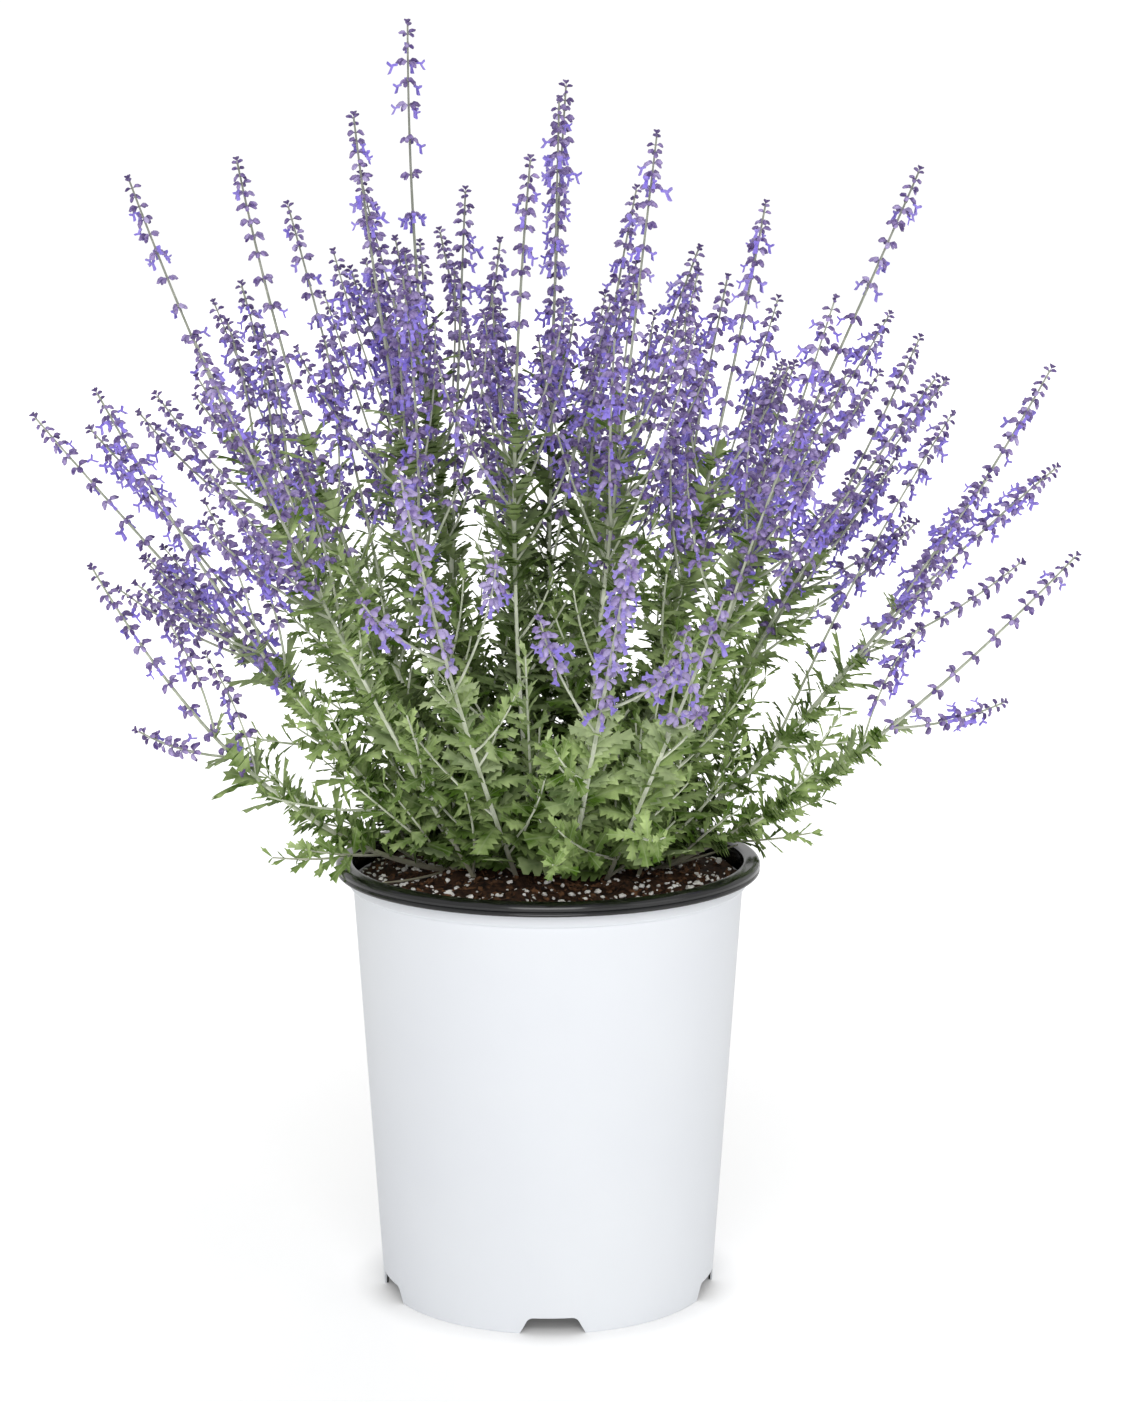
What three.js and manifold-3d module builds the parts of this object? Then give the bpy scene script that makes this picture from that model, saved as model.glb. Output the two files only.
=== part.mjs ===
// Potted russian sage: a nursery pot with a black rolled rim, its soil, and a crown of
// leafy stems that each carry a branching spray of violet florets.
// Millimetres, +Z up. The origin is on the pot's axis, on the surface that it stands on.

import * as THREE from "three";
import { mergeVertices } from "three/addons/utils/BufferGeometryUtils.js";
import Module from "manifold-3d";

const wasm = await Module();
wasm.setup();

// Pot sizes. The wall rises from the foot to a collar, and the rim is rolled over above it
const POT_HEIGHT = 196.5;
const RIM_RADIUS = 95;
const RIM_DEPTH = 5.5;
const RIM_ROUND = 2.4;
const MOUTH_RADIUS = 87.3;
const COLLAR_RADIUS = 89.2;
const COLLAR_DEPTH = 6.5;
const COLLAR_STEP = 1.5;
const WALL_TOP_RADIUS = 87.2;
const FOOT_RADIUS = 75;
const WALL = 1.6;
const FLOOR_HEIGHT = 9;
const POT_SEGMENTS = 30;

// Drain notches in the foot ring, and drain holes in the floor
const NOTCH_COUNT = 5;
const NOTCH_AZIMUTH = 1.7;
const NOTCH_HEIGHT = 7.4;
const NOTCH_TOP_WIDTH = 21;
const NOTCH_FOOT_WIDTH = 31;
const DRAIN_RADIUS = 6;
const DRAIN_DISTANCE = 58;

// Soil sizes
const SOIL_GAP = 0.3;
const SOIL_EDGE_HEIGHT = 186;
const SOIL_CROWN_RISE = 10;
const SOIL_CROWN_RADIUS = 42;
const SOIL_LUMP = 1.4;
const SOIL_SHOULDER_DEPTH = 8;
const SOIL_RINGS = 4;
const SOIL_SEGMENTS = 18;

// Stem sizes. A stem is square, and half widths are given
const STEM_FOOT_HALF = 1.5;
const STEM_BLOOM_HALF = 1.1;
const SPRAY_TIP_HALF = 0.6;
const STEM_DEPTH_IN_SOIL = 22;
const HOLE_REACH = 15;
const JOIN_GAP = 0.3;

// Foliage of a stem from its foot up: opposite leaves two by two, and leafy shoots that stand
// alone. Height is the share of the leafy length, lobes are counted on one side, cut is how far
// they are cut towards the rib, rise is in degrees, and a shoot's arch curves it up
const FOLIAGE = [
  { height: 0.08, count: 2, length: 29, width: 13, lobes: 2, cut: 0.5, rise: 26, arch: 0.2 },
  { height: 0.17, count: 1, length: 62, width: 27, lobes: 3, cut: 0.75, rise: 36, arch: -0.2 },
  { height: 0.3, count: 2, length: 28, width: 12, lobes: 2, cut: 0.55, rise: 30, arch: 0.18 },
  { height: 0.42, count: 1, length: 58, width: 25, lobes: 3, cut: 0.75, rise: 38, arch: -0.2 },
  { height: 0.58, count: 2, length: 25, width: 11, lobes: 2, cut: 0.6, rise: 36, arch: 0.15 },
  { height: 0.72, count: 1, length: 46, width: 20, lobes: 2, cut: 0.75, rise: 40, arch: -0.18 },
  { height: 0.9, count: 2, length: 21, width: 9, lobes: 1, cut: 0.6, rise: 42, arch: 0.12 },
];
const BLADE_THICKNESS = 1.2;
const STALK_HEIGHT = 2;
const LOBE_LEAN = 0.07;
const LOBE_STEP = 0.45;
const FIRST_LOBE = 0.8;
const RISE_RANGE = 14;
const FACE_FREEDOM = 0.7;

// Whorls of florets: how far two clusters reach from the axis, how far the other sides
// do, how thick a whorl is below its clusters, how far they droop, and their spacing
const MAIN_WHORLS = { reach: 8, waist: 3.6, depth: 6, droop: 1.2, pitch: 20, first: 15 };
const SIDE_WHORLS = { reach: 6.6, waist: 3, depth: 5, droop: 1, pitch: 19, first: 17 };
const TIP_NARROWING = 0.6;
const WHORL_SIDES = 3;
const SIDE_RACEMES = 2;
const LOWEST_SIDE = 0.05;
const SIDE_STEP = 0.13;
const SIDE_LENGTH = 0.5;
const SIDE_SHORTENING = 0.09;
const SIDE_BEND = { out: 0.36, up: 0.42 };
const SIDE_TIP = { out: 0.5, up: 0.92 };
const SIDE_AXIS_HALF = 0.75;
const BARE_TIP = 4;

// Least distance between pieces of different nodes
const CLEARANCE = 0.4;

// Each stem: its foot in the soil, the point that it bends towards, its tip,
// and the share of its length where the flowers begin
const STEMS = [
  { foot: [-38, 12], bend: [-118, 15, 262], tip: [-226, 10, 392], bloom: 0.46 },
  { foot: [-43, -6], bend: [-128, -30, 207], tip: [-192, -60, 334], bloom: 0.5 },
  { foot: [-40, -16], bend: [-115, -30, 262], tip: [-190, -48, 407], bloom: 0.46 },
  { foot: [-36, 24], bend: [-126, 30, 330], tip: [-184, 24, 495], bloom: 0.42 },
  { foot: [-26, 12], bend: [-100, -4, 330], tip: [-133, -10, 503], bloom: 0.42 },
  { foot: [-28, 38], bend: [-95, 84, 290], tip: [-157, 112, 437], bloom: 0.46 },
  { foot: [-32, -24], bend: [-88, -64, 300], tip: [-142, -102, 432], bloom: 0.46 },
  { foot: [-20, -10], bend: [-62, -22, 340], tip: [-82, -24, 522], bloom: 0.42 },
  { foot: [-16, 14], bend: [-62, 20, 370], tip: [-61, 22, 562], bloom: 0.42 },
  { foot: [-18, 38], bend: [-60, 108, 300], tip: [-108, 152, 439], bloom: 0.46 },
  { foot: [-6, -8], bend: [-22, -38, 345], tip: [-7, -46, 504], bloom: 0.42 },
  { foot: [-6, 46], bend: [-18, 122, 300], tip: [-27, 186, 434], bloom: 0.48 },
  { foot: [2, 8], bend: [-4, 16, 360], tip: [8, 24, 536], bloom: 0.42 },
  { foot: [6, 34], bend: [8, 84, 330], tip: [41, 112, 490], bloom: 0.44 },
  { foot: [12, -6], bend: [26, -48, 345], tip: [45, -72, 514], bloom: 0.42 },
  { foot: [16, 46], bend: [26, 122, 290], tip: [52, 192, 428], bloom: 0.48 },
  { foot: [24, -2], bend: [66, -12, 330], tip: [93, -20, 485], bloom: 0.42 },
  { foot: [26, 36], bend: [62, 92, 290], tip: [109, 132, 438], bloom: 0.46 },
  { foot: [20, 18], bend: [92, 24, 330], tip: [162, 14, 499], bloom: 0.42 },
  { foot: [40, -18], bend: [74, -60, 300], tip: [117, -92, 448], bloom: 0.46 },
  { foot: [36, 26], bend: [104, 52, 280], tip: [170, 72, 423], bloom: 0.46 },
  { foot: [40, 10], bend: [136, 10, 255], tip: [221, 10, 413], bloom: 0.46 },
  { foot: [46, 0], bend: [130, -16, 226], tip: [228, -28, 335], bloom: 0.5 },
  { foot: [-14, -28], bend: [-42, -100, 290], tip: [-57, -164, 386], bloom: 0.46 },
  { foot: [10, -25], bend: [20, -112, 270], tip: [33, -190, 360], bloom: 0.46 },
  { foot: [26, -27], bend: [48, -96, 260], tip: [70, -156, 334], bloom: 0.5 },
];

// Materials
const potMaterial = new THREE.MeshStandardMaterial({ vertexColors: true, roughness: 0.45 });
const soilMaterial = new THREE.MeshStandardMaterial({ color: 0x35201a, roughness: 1 });
const leafMaterial = new THREE.MeshStandardMaterial({ color: 0x6d8a5c, roughness: 0.8 });
const floretMaterial = new THREE.MeshStandardMaterial({ color: 0x6f5fc0, roughness: 0.8 });
const POT_WHITE = new THREE.Color(0xe9edf2);
const POT_BLACK = new THREE.Color(0x1c1d1e);

// A number from 0 to 1 that varies evenly from piece to piece
function spread(index, turn = 0) {
  const value = index * 0.618034 + turn * 0.754878;
  return value - Math.floor(value);
}

// Solids from closed geometry, and back
function solidOf(geometry) {
  const plain = geometry.clone();
  plain.deleteAttribute("normal");
  plain.deleteAttribute("uv");
  const merged = mergeVertices(plain, 1e-4);
  const mesh = new wasm.Mesh({
    numProp: 3,
    vertProperties: new Float32Array(merged.attributes.position.array),
    triVerts: new Uint32Array(merged.index.array),
  });
  return new wasm.Manifold(mesh);
}

function geometryOf(solid) {
  const mesh = solid.getMesh();
  const geometry = new THREE.BufferGeometry();
  geometry.setAttribute("position", new THREE.BufferAttribute(mesh.vertProperties, 3));
  geometry.setIndex(new THREE.BufferAttribute(mesh.triVerts, 1));
  return geometry;
}

// Triangles are lists of three points. They are joined where their points are the same
function solidOfTriangles(triangles) {
  const positions = triangles.flat().flatMap((point) => point.toArray());
  const geometry = new THREE.BufferGeometry();
  geometry.setAttribute("position", new THREE.Float32BufferAttribute(positions, 3));
  return solidOf(geometry);
}

// The two triangles of one side between a ring and the ring ahead of it
function sideFace(ring, ahead, side) {
  const next = (side + 1) % ring.length;
  return [
    [ring[side], ring[next], ahead[next]],
    [ring[side], ahead[next], ahead[side]],
  ];
}

function band(ring, ahead) {
  return ring.flatMap((_, side) => sideFace(ring, ahead, side));
}

// A flat end that faces ahead
function cap(ring) {
  return ring.slice(2).map((point, count) => [ring[0], ring[count + 1], point]);
}

// A closed skin over rings that all have the same number of points
function loft(rings) {
  const skin = rings.slice(1).flatMap((ahead, count) => band(rings[count], ahead));
  return solidOfTriangles([...cap([...rings[0]].reverse()), ...skin, ...cap(rings.at(-1))]);
}

// Pot: one revolved wall with its rolled rim, then the notches and drain holes cut away
function potSolid() {
  const rimFoot = POT_HEIGHT - RIM_DEPTH;
  const collarFoot = rimFoot - COLLAR_DEPTH;
  const profile = [
    [FOOT_RADIUS - WALL, 0],
    [FOOT_RADIUS, 0],
    [WALL_TOP_RADIUS, collarFoot],
    [COLLAR_RADIUS, collarFoot + COLLAR_STEP],
    [COLLAR_RADIUS, rimFoot + 1],
    [RIM_RADIUS - RIM_ROUND / 2, rimFoot],
    [RIM_RADIUS, rimFoot + RIM_ROUND],
    [RIM_RADIUS, POT_HEIGHT - RIM_ROUND],
    [MOUTH_RADIUS + RIM_ROUND, POT_HEIGHT],
    [MOUTH_RADIUS, POT_HEIGHT - RIM_ROUND / 2],
    [WALL_TOP_RADIUS - WALL, collarFoot],
    [FOOT_RADIUS - WALL, FLOOR_HEIGHT + WALL],
    [0, FLOOR_HEIGHT + WALL],
    [0, FLOOR_HEIGHT],
    [FOOT_RADIUS - WALL, FLOOR_HEIGHT],
    [FOOT_RADIUS - WALL, 0],
  ];
  const points = profile.map(([radius, height]) => new THREE.Vector2(radius, height));
  const lathe = new THREE.LatheGeometry(points, POT_SEGMENTS).rotateX(Math.PI / 2);
  let pot = solidOf(lathe);
  for (let count = 0; count < NOTCH_COUNT; count += 1) {
    const angle = THREE.MathUtils.degToRad(NOTCH_AZIMUTH + (360 * count) / NOTCH_COUNT);
    pot = pot.subtract(notchCutter(angle)).subtract(drainCutter(angle));
  }
  return pot;
}

// The notch's trapezoid, pushed through the foot ring at an angle from the front
function notchCutter(angle) {
  const half = NOTCH_FOOT_WIDTH / 2;
  const slope = (NOTCH_FOOT_WIDTH - NOTCH_TOP_WIDTH) / 2 / NOTCH_HEIGHT;
  const below = 1;
  const outline = new THREE.Shape([
    new THREE.Vector2(-half - slope * below, -below),
    new THREE.Vector2(half + slope * below, -below),
    new THREE.Vector2(NOTCH_TOP_WIDTH / 2, NOTCH_HEIGHT),
    new THREE.Vector2(-NOTCH_TOP_WIDTH / 2, NOTCH_HEIGHT),
  ]);
  const reach = 20;
  const prism = new THREE.ExtrudeGeometry(outline, { depth: reach, bevelEnabled: false });
  prism.rotateX(Math.PI / 2).translate(0, -FOOT_RADIUS + reach / 2, 0).rotateZ(angle);
  return solidOf(prism);
}

function drainCutter(angle) {
  const drill = new THREE.CylinderGeometry(DRAIN_RADIUS, DRAIN_RADIUS, 4 * WALL, 6);
  drill.rotateX(Math.PI / 2).translate(0, -DRAIN_DISTANCE, FLOOR_HEIGHT + WALL / 2).rotateZ(angle);
  return solidOf(drill);
}

// Soil: fills the pot up to a low mound, with a lumpy top
function soilHeight(x, y) {
  const mound = SOIL_CROWN_RISE * Math.exp(-(x * x + y * y) / (2 * SOIL_CROWN_RADIUS ** 2));
  const lumps = Math.sin(x * 0.21 + 1) * Math.cos(y * 0.17) + 0.6 * Math.sin(x * 0.11 - y * 0.29);
  return SOIL_EDGE_HEIGHT + mound + SOIL_LUMP * lumps;
}

function wallInnerRadius(height) {
  const collarFoot = POT_HEIGHT - RIM_DEPTH - COLLAR_DEPTH;
  const floor = FLOOR_HEIGHT + WALL;
  const share = (height - floor) / (collarFoot - floor);
  return THREE.MathUtils.lerp(FOOT_RADIUS - WALL, WALL_TOP_RADIUS - WALL, share);
}

function soilSolid() {
  const floor = FLOOR_HEIGHT + WALL + SOIL_GAP;
  const shoulder = SOIL_EDGE_HEIGHT - SOIL_SHOULDER_DEPTH;
  // The facets of the soil are fewer than the pot's, so its corners stay inside the pot's flats
  const inset = SOIL_GAP + RIM_RADIUS * (1 - Math.cos(Math.PI / POT_SEGMENTS));
  const ringAt = (radius, heightAt) =>
    Array.from({ length: SOIL_SEGMENTS }, (_, side) => {
      const angle = (2 * Math.PI * side) / SOIL_SEGMENTS;
      const x = radius * Math.cos(angle);
      const y = radius * Math.sin(angle);
      return new THREE.Vector3(x, y, heightAt(x, y));
    });
  const rings = [ringAt(wallInnerRadius(floor) - inset, () => floor)];
  rings.push(ringAt(wallInnerRadius(shoulder) - inset, () => shoulder));
  const edge = wallInnerRadius(SOIL_EDGE_HEIGHT - SOIL_SHOULDER_DEPTH / 2) - inset;
  for (let ring = SOIL_RINGS; ring > 0; ring -= 1) {
    rings.push(ringAt((edge * ring) / SOIL_RINGS, soilHeight));
  }
  return loft(rings);
}

// Stems
class StemPath {
  constructor({ foot, bend, tip }) {
    this.foot = new THREE.Vector3(foot[0], foot[1], soilHeight(foot[0], foot[1]));
    this.bend = new THREE.Vector3(...bend);
    this.tip = new THREE.Vector3(...tip);
    this.curve = new THREE.QuadraticBezierCurve3(this.foot, this.bend, this.tip);
    const lean = this.tip.clone().sub(this.foot);
    this.across = new THREE.Vector3(-lean.y, lean.x, 0).normalize();
  }

  frame(share) {
    const along = this.curve.getTangent(share);
    const outward = along.clone().cross(this.across).normalize();
    const across = outward.clone().cross(along).normalize();
    return { point: this.curve.getPoint(share), along, across, outward };
  }
}

// A ring of points round a frame: reach and drop are given for each side
function ringOf(frame, reaches, drop = [], turn = 0) {
  return reaches.map((reach, side) => {
    const angle = turn + (2 * Math.PI * side) / reaches.length;
    return frame.point
      .clone()
      .addScaledVector(frame.across, reach * Math.cos(angle))
      .addScaledVector(frame.outward, reach * Math.sin(angle))
      .addScaledVector(frame.along, -(drop[side] ?? 0));
  });
}

const CORNER = Math.SQRT2;

function squareRing(frame, half) {
  return ringOf(frame, Array(4).fill(half * CORNER), [], Math.PI / 4);
}

function stemHalf(share, bloom) {
  return THREE.MathUtils.lerp(STEM_FOOT_HALF, STEM_BLOOM_HALF, share / bloom);
}

// The line that a stem leaves the soil on
function stemStart(path, bloom) {
  const line = path.frame(0);
  line.along = path.curve.getPoint(bloom * FOLIAGE[0].height).sub(path.foot).normalize();
  line.outward = line.along.clone().cross(line.across).normalize();
  return line;
}

function alongLine(line, distance) {
  return { ...line, point: line.point.clone().addScaledVector(line.along, distance) };
}

// The rings of the green stem's square tube, from under the soil to where the flowers begin.
// Two rings close together bound the four quads that the blades of one height can grow from
function stemRings(path, bloom) {
  const rings = [squareRing(alongLine(stemStart(path, bloom), -STEM_DEPTH_IN_SOIL), STEM_FOOT_HALF)];
  FOLIAGE.forEach(({ height }) => {
    const share = bloom * height;
    const half = stemHalf(share, bloom);
    rings.push(squareRing(alongLine(path.frame(share), -STALK_HEIGHT / 2), half));
    rings.push(squareRing(alongLine(path.frame(share), STALK_HEIGHT / 2), half));
  });
  rings.push(squareRing(alongLine(path.frame(bloom), -JOIN_GAP / 2), STEM_BLOOM_HALF));
  return rings;
}

// The plain square hole in the soil that a stem stands in
function stemHole(path, bloom) {
  const line = stemStart(path, bloom);
  const half = STEM_FOOT_HALF + SOIL_GAP;
  const low = squareRing(alongLine(line, -STEM_DEPTH_IN_SOIL - SOIL_GAP), half);
  return loft([low, squareRing(alongLine(line, HOLE_REACH), half)]);
}

// A flowering axis that swells at each whorl into drooping clusters of florets. Two sides
// of three stand out at each whorl, and the next whorl is turned by one side
function flowerAxis(frameAt, length, whorls, startHalf) {
  const { reach, waist, depth, droop, pitch, first } = whorls;
  const rings = [];
  const thinAt = (distance) => {
    const half = THREE.MathUtils.lerp(startHalf, SPRAY_TIP_HALF, distance / length);
    rings.push(ringOf(frameAt(distance / length), Array(WHORL_SIDES).fill(half * CORNER)));
  };
  thinAt(0);
  let distance = first;
  for (let count = 0; distance < length - BARE_TIP; count += 1) {
    const size = 1 - TIP_NARROWING * (distance / length) ** 2;
    const standsOut = Array.from({ length: WHORL_SIDES }, (_, side) => (side + count) % WHORL_SIDES > 0);
    const reaches = standsOut.map((out) => (out ? reach : waist) * size);
    const drops = standsOut.map((out) => (out ? droop * size : 0));
    thinAt(distance - depth * size);
    rings.push(ringOf(frameAt(distance / length), reaches, drops));
    distance += pitch * size;
  }
  thinAt(length);
  return loft(rings);
}

// The main raceme of a spray follows the stem's own curve to its tip
function mainRaceme(path, bloom) {
  const length = path.curve.getLength() * (1 - bloom);
  const gapShare = (JOIN_GAP / 2 / length) * (1 - bloom);
  const frameAt = (share) => path.frame(THREE.MathUtils.lerp(bloom + gapShare, 1, share));
  return flowerAxis(frameAt, length, MAIN_WHORLS, STEM_BLOOM_HALF);
}

// A side raceme leaves the main one at an angle and curves up beside it
function sideRaceme(path, share, azimuth, length) {
  const root = path.frame(share);
  const side = root.across
    .clone()
    .multiplyScalar(Math.cos(azimuth))
    .addScaledVector(root.outward, Math.sin(azimuth));
  const bend = root.point.clone().addScaledVector(side, SIDE_BEND.out * length);
  bend.addScaledVector(root.along, SIDE_BEND.up * length);
  const tip = root.point.clone().addScaledVector(side, SIDE_TIP.out * length);
  tip.addScaledVector(root.along, SIDE_TIP.up * length);
  const curve = new THREE.QuadraticBezierCurve3(root.point, bend, tip);
  const across = side.clone().cross(root.along).normalize();
  const frameAt = (at) => {
    const along = curve.getTangent(at);
    return { point: curve.getPoint(at), along, across, outward: along.clone().cross(across) };
  };
  return flowerAxis(frameAt, curve.getLength(), SIDE_WHORLS, SIDE_AXIS_HALF);
}

// A blade cut into lobes on both sides: a flat upper face over a keel that follows its rib.
// A lobe's corners lie ahead of its root, and the blade arches along its length
function bladeRings({ length, width, lobes, cut, arch }) {
  const ringAt = (share, half, lean) => {
    const edge = share + lean;
    const corner = (side) => [length * edge, side * half, -arch * length * edge * edge];
    const keel = [length * share, 0, -arch * length * share * share - BLADE_THICKNESS];
    return [corner(1), corner(-1), keel].map((point) => new THREE.Vector3(...point));
  };
  const rings = [];
  const step = 1 / (lobes + 1);
  for (let lobe = 1; lobe <= lobes; lobe += 1) {
    const half = (width / 2) * (lobe === 1 && lobes > 1 ? FIRST_LOBE : 1);
    rings.push(ringAt(lobe * step, half, LOBE_LEAN));
    if (lobe < lobes) rings.push(ringAt((lobe + LOBE_STEP) * step, half * (1 - cut), 0));
  }
  return { rings, tip: new THREE.Vector3(length, 0, -arch * length) };
}

// The triangles of a blade that grows from a quad of a stem's side
function bladeOn(root, frame, azimuth, rise, size) {
  const side = frame.across
    .clone()
    .multiplyScalar(Math.cos(azimuth))
    .addScaledVector(frame.outward, Math.sin(azimuth));
  const ahead = side.clone().multiplyScalar(Math.cos(rise)).addScaledVector(frame.along, Math.sin(rise));
  const across = frame.along.clone().cross(side).normalize();
  const up = ahead.clone().cross(across).normalize();
  const seat = new THREE.Matrix4().makeBasis(ahead, across, up).setPosition(frame.point);
  const { rings, tip } = bladeRings(size);
  [...rings.flat(), tip].forEach((point) => point.applyMatrix4(seat));
  const [leftLow, rightLow, rightUp, leftUp] = root;
  const [right, left, keel] = rings[0];
  return [
    [rightUp, leftUp, left],
    [rightUp, left, right],
    [leftUp, leftLow, left],
    [leftLow, keel, left],
    [leftLow, rightLow, keel],
    [rightLow, right, keel],
    [rightLow, rightUp, right],
    ...rings.slice(1).flatMap((ring, count) => band(rings[count], ring)),
    ...rings.at(-1).map((point, count, ring) => [point, ring[(count + 1) % ring.length], tip]),
  ];
}

// What is already placed, and the test that a new piece keeps clear of it. A piece may touch
// only the core of its own node, which it grows from
const placed = [];

function place(owner, solid, isCore = true) {
  placed.push({ owner, solid, isCore, box: solid.boundingBox() });
  return solid;
}

function boxesApart(one, other) {
  return [0, 1, 2].some(
    (axis) =>
      one.min[axis] > other.max[axis] + CLEARANCE || other.min[axis] > one.max[axis] + CLEARANCE,
  );
}

function isClear(owner, solid) {
  const box = solid.boundingBox();
  return placed.every(
    (piece) =>
      (piece.owner === owner && piece.isCore) ||
      boxesApart(piece.box, box) ||
      piece.solid.minGap(solid, CLEARANCE) >= CLEARANCE,
  );
}

// Turns at which a piece is tried round its stem, until it is clear
const TURNS = [0, 20, -20, 40, -40, 65, -65, 90, -90, 125, -125].map(THREE.MathUtils.degToRad);
const QUARTER = Math.PI / 2;

function numbered(word, index) {
  return `${word}_${String(index + 1).padStart(2, "0")}`;
}

// Assembly
const plant = STEMS.map((stem, index) => {
  const path = new StemPath(stem);
  return {
    path,
    bloom: stem.bloom,
    stemName: numbered("stem", index),
    sprayName: numbered("spray", index),
  };
});

const pot = potSolid();
let soil = soilSolid();
plant.forEach(({ path, bloom }) => {
  soil = soil.subtract(stemHole(path, bloom));
});
place("pot", pot);
place("soil", soil);

plant.forEach((shoot) => {
  shoot.rings = stemRings(shoot.path, shoot.bloom);
  shoot.blades = new Map();
  place(shoot.stemName, loft(shoot.rings));
  shoot.spray = [place(shoot.sprayName, mainRaceme(shoot.path, shoot.bloom))];
});

plant.forEach((shoot, index) => {
  const mainLength = shoot.path.curve.getLength() * (1 - shoot.bloom);
  for (let count = 0; count < SIDE_RACEMES; count += 1) {
    const height = LOWEST_SIDE + SIDE_STEP * count;
    const share = THREE.MathUtils.lerp(shoot.bloom, 1, height);
    const length = mainLength * (SIDE_LENGTH - SIDE_SHORTENING * count);
    const azimuth = Math.PI * (count + spread(index));
    for (const turn of TURNS) {
      const raceme = sideRaceme(shoot.path, share, azimuth + turn, length);
      if (isClear(shoot.sprayName, raceme)) {
        shoot.spray.push(place(shoot.sprayName, raceme));
        break;
      }
    }
  }
});

// Grows one blade at the first turn that is clear. A blade is kept by its quad on the tube, and
// leans no further from the way that the quad faces than its freedom
function growBlade(shoot, order, azimuth, rise) {
  const size = FOLIAGE[order];
  const frame = shoot.path.frame(shoot.bloom * size.height);
  const low = 2 * order + 1;
  const [ring, ahead] = shoot.rings.slice(low, low + 2);
  for (const turn of TURNS) {
    const quarter = Math.round((azimuth + turn) / QUARTER);
    const towards = THREE.MathUtils.lerp(quarter * QUARTER, azimuth + turn, FACE_FREEDOM);
    const side = THREE.MathUtils.euclideanModulo(quarter - 1, 4);
    const next = (side + 1) % 4;
    const key = 4 * low + side;
    if (shoot.blades.has(key)) continue;
    const root = [ring[side], ring[next], ahead[next], ahead[side]];
    const blade = bladeOn(root, frame, towards, rise, size);
    const solid = solidOfTriangles([...cap([...root].reverse()), ...blade]);
    if (isClear(shoot.stemName, solid)) {
      place(shoot.stemName, solid, false);
      shoot.blades.set(key, blade);
      return;
    }
  }
}

FOLIAGE.forEach(({ count, rise }, order) => {
  plant.forEach((shoot, index) => {
    for (let side = 0; side < count; side += 1) {
      const pairAzimuth = Math.PI * side + QUARTER * (order + index);
      const azimuth = count > 1 ? pairAzimuth : 2 * Math.PI * spread(index, order);
      const tilt = THREE.MathUtils.degToRad(rise + RISE_RANGE * spread(index + order, side));
      growBlade(shoot, order, azimuth, tilt);
    }
  });
});

// A stem's tube with its blades in place of the quads that they grow from
function leafyStem({ rings, blades }) {
  const skin = rings.slice(1).flatMap((ahead, low) =>
    ahead.flatMap((_, side) => blades.get(4 * low + side) ?? sideFace(rings[low], ahead, side)),
  );
  return solidOfTriangles([...cap([...rings[0]].reverse()), ...skin, ...cap(rings.at(-1))]);
}

function joined(solids) {
  return solids.reduce((whole, piece) => whole.add(piece));
}

function meshOf(name, solid, material) {
  const mesh = new THREE.Mesh(geometryOf(solid), material);
  mesh.name = name;
  return mesh;
}

// White where the pot's outer skin shows, black on the rim and inside
function colourPot(mesh) {
  const position = mesh.geometry.attributes.position;
  const colours = new Float32Array(position.count * 3);
  const rimFoot = POT_HEIGHT - RIM_DEPTH;
  for (let point = 0; point < position.count; point += 1) {
    const height = position.getZ(point);
    const radius = Math.hypot(position.getX(point), position.getY(point));
    const outer = THREE.MathUtils.lerp(FOOT_RADIUS, WALL_TOP_RADIUS, height / rimFoot);
    const white = height < rimFoot && radius > outer - WALL / 2;
    (white ? POT_WHITE : POT_BLACK).toArray(colours, point * 3);
  }
  mesh.geometry.setAttribute("color", new THREE.BufferAttribute(colours, 3));
  return mesh;
}

const model = new THREE.Group();
model.add(colourPot(meshOf("pot", pot, potMaterial)));
model.add(meshOf("soil", soil, soilMaterial));
plant.forEach((shoot) => {
  model.add(meshOf(shoot.stemName, leafyStem(shoot), leafMaterial));
  model.add(meshOf(shoot.sprayName, joined(shoot.spray), floretMaterial));
});

export default model;
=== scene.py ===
"""Potted russian sage in flower: a white nursery pot, its soil, leafy stems and violet sprays."""

import math

import bpy
import numpy as np
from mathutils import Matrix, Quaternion, Vector, noise
from mathutils.bvhtree import BVHTree


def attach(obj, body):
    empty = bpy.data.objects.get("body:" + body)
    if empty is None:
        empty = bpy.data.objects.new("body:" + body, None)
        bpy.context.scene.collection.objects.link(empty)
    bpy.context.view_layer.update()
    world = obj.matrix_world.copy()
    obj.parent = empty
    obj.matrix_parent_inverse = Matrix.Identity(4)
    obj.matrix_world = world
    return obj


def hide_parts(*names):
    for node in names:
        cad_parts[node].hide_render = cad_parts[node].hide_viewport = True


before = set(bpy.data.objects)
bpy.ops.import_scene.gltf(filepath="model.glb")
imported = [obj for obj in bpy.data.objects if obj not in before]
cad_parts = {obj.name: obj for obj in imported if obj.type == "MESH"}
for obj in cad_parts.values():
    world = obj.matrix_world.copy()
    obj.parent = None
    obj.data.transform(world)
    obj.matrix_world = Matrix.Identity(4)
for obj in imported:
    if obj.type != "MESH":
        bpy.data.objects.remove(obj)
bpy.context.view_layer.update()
MM = 0.001


# Camera
# The plant is seen from the front, level with its flowers and a little from above, through
# a long lens. The place was fitted to the pot's rim and foot.
CAMERA_PLACE = (5.8 * MM, -1400 * MM, 508 * MM)
CAMERA_TILT = math.radians(90 - 9.77)
CAMERA_LENS = 82.1

bpy.ops.object.camera_add(location=CAMERA_PLACE, rotation=(CAMERA_TILT, 0, 0))
camera = bpy.context.object
camera.data.lens = CAMERA_LENS
bpy.context.scene.camera = camera


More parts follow.
